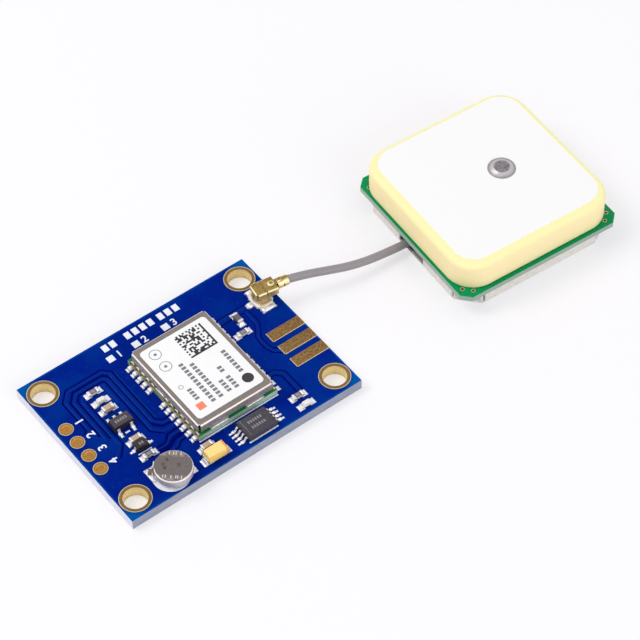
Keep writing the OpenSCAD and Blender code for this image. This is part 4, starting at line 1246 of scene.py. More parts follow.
class NodeTreeMaker:
    """Builds the geometry node trees that spread copies and sweep strips along paths."""

    @staticmethod
    def start(name: str, inputs: dict[str, str]) -> tuple[Wiring, Node, Node]:
        """Makes an empty geometry tree.

        Args:
            name: Name of the tree.
            inputs: Socket types by input name, after the geometry.

        Returns:
            The wiring, the input node and the output node.
        """
        tree = bpy.data.node_groups.new(name, "GeometryNodeTree")
        tree.interface.new_socket("Geometry", in_out="INPUT", socket_type="NodeSocketGeometry")
        for label, kind in inputs.items():
            tree.interface.new_socket(label, in_out="INPUT", socket_type=kind)
        tree.interface.new_socket("Geometry", in_out="OUTPUT", socket_type="NodeSocketGeometry")
        wiring = Wiring(tree)
        return wiring, wiring.add("NodeGroupInput"), wiring.add("NodeGroupOutput")

    @staticmethod
    def finish(wiring: Wiring, given: Node, result: Node, shape: Socket) -> None:
        """Ends a tree: copies made real, faces smooth, material set.

        Args:
            wiring: The tree's wiring.
            given: Its input node.
            result: Its output node.
            shape: The shape so far.
        """
        real = wiring.add("GeometryNodeRealizeInstances", {0: shape})
        soft = wiring.add("GeometryNodeSetShadeSmooth", {0: real.outputs[0]})
        dressed = wiring.add(
            "GeometryNodeSetMaterial", {"Geometry": soft.outputs[0], "Material": given.outputs["Finish"]}
        )
        wiring.put(result.inputs[0], dressed.outputs[0])

    def copies(self) -> None:
        """Tree that puts a pattern at each point, with the point's own size and turn."""
        inputs = {"Pattern": "NodeSocketObject", "Finish": "NodeSocketMaterial"}
        wiring, given, result = self.start("placed_copies", inputs)
        pattern = wiring.add("GeometryNodeObjectInfo", {"Object": given.outputs["Pattern"]})
        size = wiring.add("GeometryNodeInputNamedAttribute", {"Name": "size"}, data_type="FLOAT_VECTOR")
        turn = wiring.add("GeometryNodeInputNamedAttribute", {"Name": "turn"}, data_type="FLOAT")
        angles = wiring.add("ShaderNodeCombineXYZ", {"Z": turn.outputs[0]})
        rotation = wiring.add("FunctionNodeEulerToRotation", {0: angles.outputs[0]})
        placed = wiring.add(
            "GeometryNodeInstanceOnPoints",
            {
                "Points": given.outputs["Geometry"],
                "Instance": pattern.outputs["Geometry"],
                "Rotation": rotation.outputs[0],
                "Scale": size.outputs[0],
            },
        )
        self.finish(wiring, given, result, placed.outputs[0])

    def strips(self) -> None:
        """Tree that sweeps a flat strip along paths with rounded corners."""
        inputs = {
            "Width": "NodeSocketFloat",
            "Height": "NodeSocketFloat",
            "Corner": "NodeSocketFloat",
            "Finish": "NodeSocketMaterial",
        }
        wiring, given, result = self.start("flat_strips", inputs)
        bent = wiring.add(
            "GeometryNodeFilletCurve",
            {"Curve": given.outputs["Geometry"], "Count": 5, "Radius": given.outputs["Corner"]},
            mode="POLY",
        )
        level = wiring.add("GeometryNodeSetCurveNormal", {"Curve": bent.outputs[0]}, mode="Z_UP")
        section = wiring.add(
            "GeometryNodeCurvePrimitiveQuadrilateral",
            {"Width": given.outputs["Width"], "Height": given.outputs["Height"]},
        )
        swept = wiring.add(
            "GeometryNodeCurveToMesh",
            {"Curve": level.outputs[0], "Profile Curve": section.outputs[0], "Fill Caps": True},
        )
        real = wiring.add("GeometryNodeRealizeInstances", {0: swept.outputs[0]})
        dressed = wiring.add(
            "GeometryNodeSetMaterial", {"Geometry": real.outputs[0], "Material": given.outputs["Finish"]}
        )
        wiring.put(result.inputs[0], dressed.outputs[0])

    def lead(self) -> None:
        """Tree that sweeps a round lead along a smooth path and keeps a map along and around it."""
        inputs = {"Radius": "NodeSocketFloat", "Finish": "NodeSocketMaterial"}
        wiring, given, result = self.start("round_lead", inputs)
        smooth = wiring.add(
            "GeometryNodeCurveSplineType", {"Curve": given.outputs["Geometry"]}, spline_type="CATMULL_ROM"
        )
        even = wiring.add("GeometryNodeResampleCurve", {"Curve": smooth.outputs[0], "Count": 160})
        along = wiring.add("GeometryNodeSplineParameter")
        marked = wiring.add(
            "GeometryNodeStoreNamedAttribute",
            {"Geometry": even.outputs[0], "Name": "along", "Value": along.outputs["Length"]},
            data_type="FLOAT",
            domain="POINT",
        )
        circle = wiring.add(
            "GeometryNodeCurvePrimitiveCircle", {"Resolution": 32, "Radius": given.outputs["Radius"]}
        )
        around = wiring.add("GeometryNodeSplineParameter")
        marked_circle = wiring.add(
            "GeometryNodeStoreNamedAttribute",
            {"Geometry": circle.outputs[0], "Name": "around", "Value": around.outputs["Factor"]},
            data_type="FLOAT",
            domain="POINT",
        )
        swept = wiring.add(
            "GeometryNodeCurveToMesh",
            {"Curve": marked.outputs[0], "Profile Curve": marked_circle.outputs[0], "Fill Caps": True},
        )
        self.finish(wiring, given, result, swept.outputs[0])

    def build(self) -> None:
        """Builds all trees."""
        self.copies()
        self.strips()
        self.lead()


@dataclass
class Place:
    """Where a copy goes.

    Attributes:
        at: Its origin, in metres.
        size: Its size along each axis, in metres.
        turn: Its turn about the upright, in radians.
    """

    at: Vector
    size: Vector
    turn: float = 0.0


class Repeater:
    """Runs the geometry node trees and turns their results into pieces."""

    @staticmethod
    def run(obj: Piece, tree: str, values: dict[str, object]) -> Piece:
        """Runs a tree on an object and freezes the result.

        Args:
            obj: The object to run it on.
            tree: Name of the tree.
            values: Values of the tree's inputs, by name.

        Returns:
            The frozen mesh object.
        """
        modifier = obj.modifiers.new(tree, "NODES")
        modifier.node_group = bpy.data.node_groups[tree]
        for item in modifier.node_group.interface.items_tree:
            if item.in_out == "INPUT" and item.name in values:
                modifier[item.identifier] = values[item.name]
        return Bench.freeze(obj)

    @classmethod
    def spread(
        cls, name: str, pattern: Mesh, places: Sequence[Place], paint: Paint, nodes: Sequence[str] = ()
    ) -> Piece:
        """Puts copies of a pattern at places.

        Args:
            name: Name of the piece.
            pattern: The shape to repeat; it is freed.
            places: Where the copies go.
            paint: Their finish.
            nodes: Names of the CAD nodes that they stand for.

        Returns:
            The fitted piece.
        """
        mesh = bpy.data.meshes.new(name)
        mesh.from_pydata([place.at for place in places], [], [])
        sizes = mesh.attributes.new("size", "FLOAT_VECTOR", "POINT")
        sizes.data.foreach_set("vector", [value for place in places for value in place.size])
        turns = mesh.attributes.new("turn", "FLOAT", "POINT")
        turns.data.foreach_set("value", [place.turn for place in places])
        carrier = Bench.link(name, mesh)
        model = Bench.from_bmesh(name + "_pattern", pattern)
        made = cls.run(carrier, "placed_copies", {"Pattern": model, "Finish": paint.material})
        bpy.data.objects.remove(model)
        made.name = name
        return Bench.fit(made, paint, nodes)

    @classmethod
    def path(cls, name: str, routes: Sequence[Sequence[Sequence[float]]], tree: str, values: dict) -> Piece:
        """Sweeps a section along routes.

        Args:
            name: Name of the piece.
            routes: Points of each route, in millimetres.
            tree: Which tree to run.
            values: The tree's inputs.

        Returns:
            The piece, not yet fitted.
        """
        curve = bpy.data.curves.new(name, "CURVE")
        curve.dimensions = "3D"
        for route in routes:
            spline = curve.splines.new("POLY")
            spline.points.add(len(route) - 1)
            for point, at in zip(spline.points, route):
                point.co = (*[value * MM for value in at], 1.0)
        made = cls.run(Bench.link(name, curve), tree, values)
        made.name = name
        return made

    @classmethod
    def strips(cls, name: str, groups: Routes, low: float, high: float, corner: float, paint: Paint) -> Piece:
        """Lays flat strips of several widths as one piece.

        Args:
            name: Name of the piece.
            groups: Corners of the strips, by width, in millimetres.
            low: Height of their underside, in millimetres.
            high: Height of their upper face, in millimetres.
            corner: Radius of their bends, in millimetres.
            paint: Their finish.

        Returns:
            The fitted piece.
        """
        bm = bmesh.new()
        level = (low + high) / 2
        for width, routes in groups.items():
            lifted = [[(x, y, level) for x, y in route] for route in routes]
            values = {
                "Width": width * MM, "Height": (high - low) * MM, "Corner": corner * MM,
                "Finish": paint.material
            }
            made = cls.path(name, lifted, "flat_strips", values)
            bm.from_mesh(made.data)
            bpy.data.objects.remove(made)
        return Bench.piece(name, bm, paint)


@dataclass
class MainBoard:
    """The blue board with its copper, print and plated holes.

    Attributes:
        top: Height of the board's upper face, in millimetres.
        ink: Thickness of the printed ink.
        line_h: Height of a copper line under the mask.
        bend: Radius of a line's corners.
        gap_h: Height of the mask in a gap.
        highlight_w: Width of the painted highlight on a line's left edge.
        ring_edge: Radius of a plated ring's edges.
        pad_edge: Radius of a contact pad's edges.
        pad_highlight_w: Width of the painted highlight along two sides of a contact pad.
        pad_solder: Height of the solder on a pad.
        via: Size of a plugged hole.
        highlight_shoulders: Left edges of the upright lines, which carry a painted highlight: place along X and
            both ends along Y.
        lines: Corners of the copper lines that show through the mask, by width.
        gaps: Corners of the cleared gaps beside the lines, where the mask is darker, by width.
    """

    top: float = 1.6
    ink: float = 0.045
    line_h: float = 0.03
    bend: float = 0.3
    gap_h: float = 0.008
    highlight_w: float = 0.13
    ring_edge: float = 0.045
    pad_edge: float = 0.04
    pad_highlight_w: float = 0.1
    pad_solder: float = 0.1
    via: Triple = (0.42, 0.42, 0.03)
    highlight_shoulders: tuple[Triple, ...] = (
        (-14.12, 2.2, 7.2), (-13.25, -0.5, 6.55), (-12.38, -2.2, 6.0), (-8.72, 3.4, 6.8), (-7.89, -2.85, 6.9),
        (-7.11, -1.85, 7.55), (-6.3, -1.6, 7.7), (12.62, 2.9, 5.1),
    )
    lines: ClassVar[Routes] = {
        0.5: [
            [(-15.3, 1.2), (-14.6, 1.2), (-13.96, 1.84), (-13.96, 7.26), (-12.74, 8.48), (-7.62, 8.48),
             (-6.87, 7.61), (-6.87, -1.91), (-5.95, -2.86), (-4.9, -2.86)],
            [(-15.3, -1.34), (-13.75, -1.34), (-13.1, -0.7), (-13.1, 6.6), (-12.1, 7.6), (-8.15, 7.6),
             (-7.64, 6.96), (-7.64, -2.92), (-6.67, -3.93), (-4.9, -3.93)],
            [(-15.3, -3.88), (-13.7, -3.88), (-12.18, -2.33), (-12.18, 6.1), (-11.75, 6.5)],
            [(-8.48, 6.8), (-8.48, 3.3), (-9.2, 2.9)],
            [(12.82, 5.4), (12.82, 2.95), (12.3, 1.9), (11.6, 0.95), (11.47, 0.3), (11.47, -1.1), (11.8, -2.1),
             (12.7, -2.75)],
        ],
        0.28: [
            [(-9.0, -5.87), (-7.5, -5.87), (-6.6, -5.05), (-4.9, -5.05)],
            [(-7.6, -6.9), (-6.8, -6.9), (-5.95, -6.2), (-4.9, -6.2)],
        ],
        0.64: [[(8.3, -4.98), (9.7, -4.98), (10.55, -5.85), (10.55, -9.6)]],
        0.86: [[(8.3, 5.76), (13.4, 5.76)]],
    }
    gaps: ClassVar[Routes] = {
        0.24: [
            [(-14.9, 1.6), (-14.35, 2.1), (-14.35, 7.38), (-12.86, 8.9), (-7.56, 8.9), (-6.49, 7.85),
             (-6.49, -1.79), (-5.83, -2.4), (-4.9, -2.4)],
            [(-12.65, -0.9), (-12.65, 6.42), (-12.2, 7.02), (-11.9, 7.2), (-8.33, 7.2), (-8.12, 6.84),
             (-8.12, -2.98), (-6.79, -4.23)],
            [(-11.86, 5.7), (-11.86, -2.5), (-13.33, -4.15)],
            [(-7.4, -7.12), (-6.73, -7.15), (-5.83, -6.5), (-4.9, -6.45)],
        ],
        0.2: [
            [(8.3, 6.28), (13.2, 6.28)],
            [(8.3, 5.24), (10.65, 5.24)],
            [(11.8, 5.24), (12.5, 5.2), (12.53, 3.0), (12.05, 2.05), (11.35, 1.15), (11.15, 0.4), (11.15, -1.2),
             (11.5, -2.25), (12.45, -3.1)],
            [(13.15, 5.1), (13.12, 2.85), (12.6, 1.8), (11.95, 0.85), (11.8, 0.25), (11.8, -1.0),
             (12.05, -1.75), (12.6, -2.2)],
            [(8.3, -4.6), (9.86, -4.6), (10.98, -5.7), (10.98, -9.3)],
            [(8.3, -5.36), (9.5, -5.36), (10.12, -6.1), (10.12, -9.3)],
        ],
        0.36: [
            [(-13.51, 0.2), (-13.51, 6.84), (-12.36, 8.05), (-7.88, 8.05), (-7.27, 7.4), (-7.27, -2.2),
             (-6.4, -3.2), (-4.9, -3.3)],
            [(-8.9, -5.55), (-7.56, -5.55), (-6.67, -4.62), (-4.9, -4.5)],
        ],
        0.62: [[(-8.9, -6.3), (-7.62, -6.37), (-6.3, -5.66), (-4.9, -5.6)]],
    }

    def copper(self) -> None:
        """Lays the copper lines, the gaps beside them and painted highlights on their left edges."""
        low, line_top = self.top - COPPER_SINK, self.top + self.line_h
        edges = {self.highlight_w: [[(x, start), (x, end)] for x, start, end in self.highlight_shoulders]}
        for name, routes, high, paint in (
            ("copper_gaps", self.gaps, self.top + self.gap_h, Paint.MASK_GAP),
            ("copper_lines", self.lines, line_top, Paint.MASK_LINE),
            ("copper_edges", edges, line_top + PROUD, Paint.MASK_EDGE),
        ):
            Repeater.strips(name, routes, low, high, self.bend, paint)

    def vias(self) -> None:
        """Puts small plugged holes in the ground copper."""
        spots = [
            (-17.0, 6.75), (-15.7, 6.8), (-16.6, -7.2), (-15.6, -7.2), (-14.6, -7.2), (-5.54, 6.9),
            (-5.48, 5.7), (-5.48, 4.2), (-5.54, 0.95), (-5.6, -0.36), (-5.5, -1.4), (-8.6, 10.4), (-12.4, 10.7),
            (10.4, 9.9), (10.55, 8.43), (12.8, 7.05), (10.5, 7.1), (9.4, 7.05), (13.7, 1.45), (14.8, 1.45),
            (13.65, -1.5), (9.4, -7.1), (11.7, -7.2), (13.05, -7.2), (15.9, -7.2), (17.1, -7.25), (10.1, -0.35),
            (9.1, 1.2), (10.2, -1.5), (10.1, -2.5), (10.4, -3.55), (7.8, -11.9),
        ]
        size = Vector(self.via) * MM
        places = [Place(Vector((x, y, self.top)) * MM, size) for x, y in spots]
        Repeater.spread("plugged_vias", Shapes.mound(), places, Paint.MASK_LINE)

    def print(self) -> None:
        """Adds the white print: pin numerals, option squares, plain blocks and outlines."""
        bm = bmesh.new()
        low, high = self.top - INK_SINK, self.top + self.ink
        sideways = Matrix.Rotation(math.pi / 2, 4, "Z")
        for index, pin in enumerate(sorted(Island.of("header_hole_plating"), key=lambda s: -s.centre.y)):
            place = Matrix.Translation((-14.2 * MM, pin.centre.y, (low + self.ink / 2) * MM)) @ sideways
            Shapes.numeral(bm, str(index + 1), 1.15, place, self.ink)
        for index, x in enumerate((-5.44, -1.5, 3.1)):
            Shapes.bar(bm, x, 9.55, 1.0, 1.0, low, high)
            place = Matrix.Translation(((x + 1.35) * MM, 9.55 * MM, (low + self.ink / 2) * MM))
            Shapes.numeral(bm, str(index + 1), 1.1, place, self.ink)
        for first, count in ((-5.05, 2), (-1.55, 4), (3.6, 3)):
            for step in range(count):
                Shapes.bar(bm, first + step * 1.18, 11.4, 0.8, 1.1, low, high)
        for x, y, length, width in (
            (-10.35, -1.3, 0.65, 0.25),
            (2.87, -12.05, 4.45, 0.2),
            (1.9, -8.12, 12.2, 0.18),
            (-10.35, -5.08, 2.0, 0.14),
        ):
            Shapes.bar(bm, x, y, length, width, low, high)
        Shapes.disc(bm, -9.95, -10.1, 2.45, low, high)
        Bench.piece("board_print", bm, Paint.SILK)

    def solder(self) -> None:
        """Covers the tinned pads with low cushions of solder."""
        pads = Island.of("component_pads")
        draw = random.Random(len(pads))
        places = []
        for pad in pads:
            lift = self.pad_solder * MM * draw.uniform(0.8, 1.25)
            at = Vector((pad.centre.x, pad.centre.y, pad.high.z - COPPER_SINK * MM))
            places.append(Place(at, Vector((pad.size.x, pad.size.y, lift))))
        Repeater.spread("pad_solder", Shapes.mound(), places, Paint.SOLDER)

    def rims(self) -> None:
        """Adds painted highlights along the edges of the gold: the rims of the rings, and two sides of each
        contact pad.
        """
        bm = bmesh.new()
        for node, line in (("mounting_hole_plating", 0.09), ("header_hole_plating", 0.08)):
            for solid in Island.of(node):
                x, y, top = solid.centre.x / MM, solid.centre.y / MM, solid.high.z / MM
                Shapes.hoop(bm, x, y, solid.size.x / 2 / MM - line / 2, line, top - SINK, top + PROUD)
        for solid in Island.of("edge_pads"):
            if solid.low.z > MM:
                low, high, centre = solid.low / MM, solid.high / MM, solid.centre / MM
                foot, crest, half = high.z - SINK, high.z + PROUD, self.pad_highlight_w / 2
                Shapes.bar(bm, centre.x, low.y + half, high.x - low.x, self.pad_highlight_w, foot, crest)
                Shapes.bar(bm, low.x + half, centre.y, self.pad_highlight_w, high.y - low.y, foot, crest)
        Bench.piece("gold_rims", bm, Paint.RIM_GOLD)

    def build(self) -> None:
        """Dresses the board."""
        Bench.coat(Paint.MASK, "circuit_board")
        Bench.soften("mounting_hole_plating", "mounting_rings", Paint.RING_GOLD, self.ring_edge, 2)
        Bench.soften("header_hole_plating", "header_rings", Paint.AMBER_GOLD, self.ring_edge, 2)
        Bench.soften("edge_pads", "contact_pads", Paint.PAD_GOLD, self.pad_edge, 2)
        Bench.coat(Paint.TIN, "component_pads")
        self.solder()
        self.rims()
        self.copper()
        self.vias()
        self.print()


@dataclass
class Receiver:
    """The shielded receiver with its notched board and label.

    Attributes:
        cells: Cells along one side of the label's block pattern.
        block: Side of the block pattern, in millimetres.
        block_at: Centre of the block pattern from the label's centre.
        film: Thickness of the print.
        shift: Shift of all print on the label, along Y.
        bump: Size of a solder joint on the side of the header, in millimetres.
        far_bump: Size of a joint on the other side.
        half_hole: Radius, plating, land and film of a half hole at the board's edge.
        bead: Size of a bead of solder at the shield's foot.
        front_seam: Size of a seam of solder along the shield's front and back.
        side_seam: Size of a seam along its sides.
    """

    cells: int = 16
    block: float = 4.1
    block_at: Point = (1.9, 4.0)
    film: float = 0.012
    shift: float = -0.12
    bump: Triple = (1.0, 0.82, 0.5)
    far_bump: Triple = (0.7, 0.82, 0.4)
    half_hole: tuple[float, ...] = (0.3, 0.06, 0.22, 0.02)
    bead: Triple = (0.2, 0.74, 0.18)
    front_seam: Triple = (2.95, 0.26, 0.16)
    side_seam: Triple = (0.2, 2.1, 0.18)

    def label_place(self, x: float, y: float, size: Vector) -> Place:
        """Place on the label's top, from its centre, in millimetres.

        Args:
            x: Distance along X.
            y: Distance along Y.
            size: Size of the copy, in metres.

        Returns:
            The place.
        """
        low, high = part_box("receiver_label")
        centre = (low + high) / 2
        return Place(Vector((centre.x + x * MM, centre.y + (y + self.shift) * MM, high.z)), size)

    def block_cells(self) -> list[Place]:
        """Dark cells of a block pattern: two solid sides, two dashed ones and a mixed field.

        Returns:
            The places of the dark cells.
        """
        draw = random.Random(5)
        step = self.block / self.cells
        last = self.cells - 1
        places = []
        for i in range(self.cells):
            for j in range(self.cells):
                solid = i == last or j == 0
                dashed = (i == 0 and j % 2 == 0) or (j == last and i % 2 == 1)
                inside = 0 < i < last and 0 < j < last and draw.random() < 0.5
                if solid or dashed or inside:
                    x = self.block_at[0] + (i - last / 2) * step
                    y = self.block_at[1] + (j - last / 2) * step
                    places.append(self.label_place(x, y, Vector((step * 1.02, step * 1.02, self.film)) * MM))
        return places

    def rows(self) -> list[Place]:
        """Short grey blocks in columns, as lines of small print.

        Returns:
            The places of the blocks.
        """
        columns = [
            (-3.35, -3.87, -1.67), (-1.9, -5.37, 2.23), (-0.75, -5.37, 1.43), (0.6, -5.27, -2.97),
            (1.7, -5.37, -2.97), (1.7, -2.27, -1.07), (3.6, -3.67, 0.73),
        ]
        places = []
        for x, start, end in columns:
            count = max(1, round((end - start) / 0.62))
            step = (end - start) / count
            for i in range(count):
                size = Vector((0.62, step * 0.66, self.film)) * MM
                places.append(self.label_place(x, start + (i + 0.5) * step, size))
        return places

    @staticmethod
    def tile() -> Mesh:
        """Flat square tile of side 1 and height 1.

        Returns:
            The closed mesh.
        """
        bm = bmesh.new()
        bmesh.ops.create_cube(bm, size=1.0)
        bmesh.ops.translate(bm, verts=bm.verts, vec=(0, 0, 0.5))
        return bm

    def marks(self) -> None:
        """Prints the label."""
        Repeater.spread("label_block", self.tile(), self.block_cells(), Paint.PRINT)
        Repeater.spread("label_rows", self.tile(), self.rows(), Paint.GREY_PRINT)
        low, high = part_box("receiver_label")
        x, y, z = ((low + high) / 2 / MM).x, ((low + high) / 2 / MM).y + self.shift, high.z / MM
        bm = bmesh.new()
        for dx, dy in ((-3.5, 5.28), (-3.52, 2.93)):
            Shapes.hoop(bm, x + dx, y + dy, 0.78, 0.09, z - INK_SINK, z + self.film)
            Shapes.disc(bm, x + dx, y + dy, 0.22, z - INK_SINK, z + self.film, 24)
        Shapes.hoop(bm, x - 3.95, y - 0.97, 0.3, 0.07, z - INK_SINK, z + self.film)
        Bench.piece("label_rings", bm, Paint.GREY_PRINT)
        bm = bmesh.new()
        Shapes.disc(bm, x + 3.6, y - 4.87, 0.77, z - INK_SINK, z + self.film)
        Bench.piece("label_dot", bm, Paint.PRINT)
        bm = bmesh.new()
        Shapes.bar(bm, x - 3.65, y - 4.87, 1.1, 1.1, z - INK_SINK, z + self.film)
        Bench.piece("label_patch", bm, Paint.CORAL_PRINT)

    def joints(self) -> None:
        """Adds the solder joints, the plated half holes above them and a bead at the shield's foot by each."""
        low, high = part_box("receiver_board")
        can_low, can_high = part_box("receiver_shield")
        solder, plating, beads = [], [], []
        for solid in Island.of("receiver_solder"):
            side = 1 if solid.centre.x > (low.x + high.x) / 2 else -1
            edge, foot = (high.x, can_high.x) if side > 0 else (low.x, can_low.x)
            y = solid.centre.y
            reach, bump = (0.02, self.far_bump) if side > 0 else (-0.12, self.bump)
            solder.append(Place(Vector((edge + reach * MM, y, solid.low.z)), Vector(bump) * MM))
            plating.append(Place(Vector((edge, y, low.z)), Vector((MM, MM, MM)), 0.0 if side > 0 else math.pi))
            beads.append(Place(Vector((foot + side * 0.05 * MM, y, high.z - SINK * MM)), Vector(self.bead) * MM))
        Repeater.spread("receiver_joints", Shapes.mound(), solder, Paint.SOLDER, ["receiver_solder"])
        radius, wall, land, film = self.half_hole
        half = Shapes.half_hole(radius, wall, land, (high.z - low.z) / MM, film)
        Repeater.spread("receiver_half_holes", half, plating, Paint.OLIVE_GOLD).data.shade_flat()
        bm = bmesh.new()
        top = high.z / MM
        for edge, foot in ((low.x, can_low.x), (high.x, can_high.x)):
            x, width = (edge + foot) / 2 / MM, abs(foot - edge) / MM
            Shapes.bar(bm, x, 0.75, width * 0.8, 1.9, top - SINK, top + film)
        Bench.piece("edge_strips", bm, Paint.OLIVE_GOLD)
        Repeater.spread("shield_beads", Shapes.mound(), beads, Paint.SOLDER)

    def seams(self) -> None:
        """Adds the solder along the shield's feet."""
        low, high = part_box("receiver_shield")
        board_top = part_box("receiver_board")[1].z - SINK * MM
        centre = (low + high) / 2
        places = []
        for side in (-1, 1):
            edge = low.y if side < 0 else high.y
            for x in (-2.75, 2.75):
                at = Vector((centre.x + x * MM, edge + side * 0.11 * MM, board_top))
                places.append(Place(at, Vector(self.front_seam) * MM))
            edge = low.x if side < 0 else high.x
            at = Vector((edge + side * 0.05 * MM, 0.75 * MM, board_top))
            places.append(Place(at, Vector(self.side_seam) * MM))
        Repeater.spread("shield_seams", Shapes.mound(), places, Paint.SOLDER)

    def build(self) -> None:
        """Dresses the receiver."""
        Bench.soften("receiver_board", "receiver_base", Paint.GREEN, 0.03, 2)
        Bench.soften("receiver_shield", "receiver_can", Paint.NICKEL, 0.05)
        Bench.soften("receiver_label", "receiver_sticker", Paint.PAPER, 0.03, 2)
        Bench.coat(Paint.CASE, "receiver_chip")
        Bench.coat(Paint.GOLD, "receiver_oscillator")
        Bench.coat(Paint.TIN, "receiver_filter")
        self.joints()
        self.seams()
        self.marks()


@dataclass
class SmallParts:
    """The cell, the moulded parts and the chips on the main board.

    Attributes:
        chip_edge: Radius of a chip's edges, in millimetres.
        end_edge: Radius of a metal end's edges.
        case_edge: Radius of a moulded case's edges.
        lead_edge: Radius of a lead's edges.
        mark: Length and width of a printed block on a case.
        mark_step: Distance between two blocks.
        film: Thickness of the print.
        tick: Size of a tick on the cell.
        panel: Shares of a glass coat's sides that its panel takes, and the panel's thickness.
    """

    chip_edge: float = 0.06
    end_edge: float = 0.09
    case_edge: float = 0.04
    lead_edge: float = 0.03
    mark: Point = (0.24, 0.44)
    mark_step: float = 0.36
    film: float = 0.006
    tick: Triple = (0.55, 0.12, 0.012)
    panel: Triple = (0.68, 0.6, 0.008)

    def boxes(self, node: str, name: str, paint: Paint, edge: float) -> None:
        """Rounded boxes in place of a node's plain ones.

        Args:
            node: The CAD node.
            name: Name of the piece.
            paint: Its finish.
            edge: Radius of the edges, in millimetres.
        """
        bm = bmesh.new()
        for solid in Island.of(node):
            Shapes.rounded_box(bm, solid.low, solid.high, edge)
        Bench.piece(name, bm, paint, [node], SMOOTH_ANGLE)

    def solder(self) -> None:
        """Concave solder at the chips' ends."""
        places = []
        for solid in Island.of("chip_solder"):
            crest = [p for p in solid.points if p.z > solid.high.z - SINK * MM]
            top = sum(crest, Vector()) / len(crest)
            out = solid.centre - top
            turn = math.atan2(round(out.y, 5), round(out.x, 5))
            length, width = solid.size.xy if abs(out.x) > abs(out.y) else solid.size.yx
            at = Vector((top.x, top.y, solid.low.z))
            places.append(Place(at, Vector((length * 1.15, width * 1.08, solid.size.z)), turn))
        Repeater.spread("chip_fillets", Shapes.fillet(), places, Paint.SOLDER, ["chip_solder"])

    def panels(self) -> None:
        """Paler panel in the middle of each resistor's glass."""
        length, width, film = self.panel
        bm = bmesh.new()
        for solid in Island.of("resistor_coats"):
            centre, size, top = solid.centre / MM, solid.size / MM, solid.high.z / MM
            Shapes.bar(bm, centre.x, centre.y, size.x * length, size.y * width, top - INK_SINK, top + film)
        Bench.piece("resistor_panels", bm, Paint.PALE_GLASS)

    def markings(self) -> None:
        """Plain blocks in place of the moulded parts' print, and a stripe at the memory chip's first end."""
        bm = bmesh.new()
        for node, count, rows in (
            ("memory_chip", 6, (0.45, -0.45)), ("regulator", 5, (0.0,)), ("diode", 2, (0.0,))
        ):
            low, high = (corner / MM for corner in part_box(node))
            centre, foot, crest = (low + high) / 2, high.z - INK_SINK, high.z + self.film
            for shift in rows:
                for step in range(count):
                    x = centre.x + (step - (count - 1) / 2) * self.mark_step
                    Shapes.bar(bm, x, centre.y + shift, *self.mark, foot, crest)
            if len(rows) > 1:
                Shapes.bar(bm, low.x + 0.5, centre.y, 0.07, (high.y - low.y) * 0.9, foot, crest)
        Bench.piece("chip_markings", bm, Paint.GREY_MARK)

    def cell_marks(self) -> None:
        """Weld marks on the cell's strip, and plain ticks beside it."""
        bm = bmesh.new()
        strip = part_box("cell_upper_tab")[1].z / MM
        for x, y in ((-9.65, -8.85), (-10.45, -9.2), (-10.55, -9.7), (-8.9, -10.4)):
            Shapes.hoop(bm, x, y, 0.16, 0.11, strip - SINK, strip + PROUD)
        Bench.piece("weld_rings", bm, Paint.WELD)
        low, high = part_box("backup_cell")
        centre = (low + high) / 2
        along, across = Vector((0.736, -0.677, 0.0)), Vector((0.677, 0.736, 0.0))
        places = []
        for reach, steps in ((1.95, (-0.75, -0.2, 0.1, 0.7)), (-1.6, (-1.1, -0.8, -0.1, 0.5, 0.75, 1.2))):
            for step in steps:
                at = centre + (along * step + across * reach) * MM
                at.z = high.z - INK_SINK * MM
                places.append(Place(at, Vector(self.tick) * MM, math.atan2(across.y, across.x)))
        Repeater.spread("cell_ticks", Shapes.mound(), places, Paint.TIN)

    def foot_solder(self) -> None:
        """Solder over the feet of the bent leads."""
        places = []
        for node, size in (
            ("memory_leads", (0.62, 0.5, 0.26)), ("regulator_leads", (0.6, 0.6, 0.26)),
            ("diode_leads", (0.5, 0.6, 0.24))
        ):
            for solid in Island.of(node):
                ground = [p for p in solid.points if p.z < solid.low.z + 0.02 * MM]
                centre = sum(ground, Vector()) / len(ground)
                places.append(Place(Vector((centre.x, centre.y, solid.low.z)), Vector(size) * MM))
        Repeater.spread("foot_solder", Shapes.mound(), places, Paint.SOLDER)

    def build(self) -> None:
        """Dresses the small parts."""
        Bench.soften("backup_cell", "cell_can", Paint.CELL_STEEL, 0.09)
        Bench.coat(Paint.TAB_NICKEL, "cell_upper_tab")
        Bench.soften("cell_lower_tab", "cell_base_strip", Paint.TIN, 0.02, 2)
        for node, name, paint, edge in (
            ("tantalum_case", "yellow_capacitor", Paint.YELLOW, 0.07),
            ("tantalum_terminals", "yellow_capacitor_ends", Paint.TIN, self.lead_edge),
            ("memory_chip", "memory_body", Paint.CASE, self.case_edge),
            ("memory_leads", "memory_feet", Paint.TIN, self.lead_edge),
            ("regulator", "regulator_body", Paint.REGULATOR_CASE, self.case_edge),
            ("regulator_leads", "regulator_feet", Paint.TIN, self.lead_edge),
            ("diode", "diode_body", Paint.DARK_CASE, self.case_edge),
            ("diode_leads", "diode_feet", Paint.TIN, self.lead_edge),
        ):
            Bench.soften(node, name, paint, edge)
        for node, name, paint, edge in (
            ("resistor_bodies", "resistor_cores", Paint.ALUMINA, self.chip_edge),
            ("resistor_coats", "resistor_tops", Paint.GLASS, 0.01),
            ("resistor_terminals", "resistor_ends", Paint.TIN, self.end_edge),
            ("capacitor_bodies", "capacitor_cores", Paint.TAN, self.chip_edge),
            ("capacitor_terminals", "capacitor_ends", Paint.TIN, self.end_edge),
            ("feed_inductor", "inductor_core", Paint.GLASS, self.chip_edge),
            ("inductor_terminals", "inductor_ends", Paint.TIN, self.end_edge),
            ("led_bases", "light_bases", Paint.ALUMINA, self.chip_edge),
            ("led_terminals", "light_ends", Paint.TIN, 0.04),
        ):
            self.boxes(node, name, paint, edge)
        Bench.soften("led_lenses", "light_lenses", Paint.LENS, 0.06)
        Bench.coat(Paint.DIE, "led_dies")
        self.panels()
        self.markings()
        self.cell_marks()
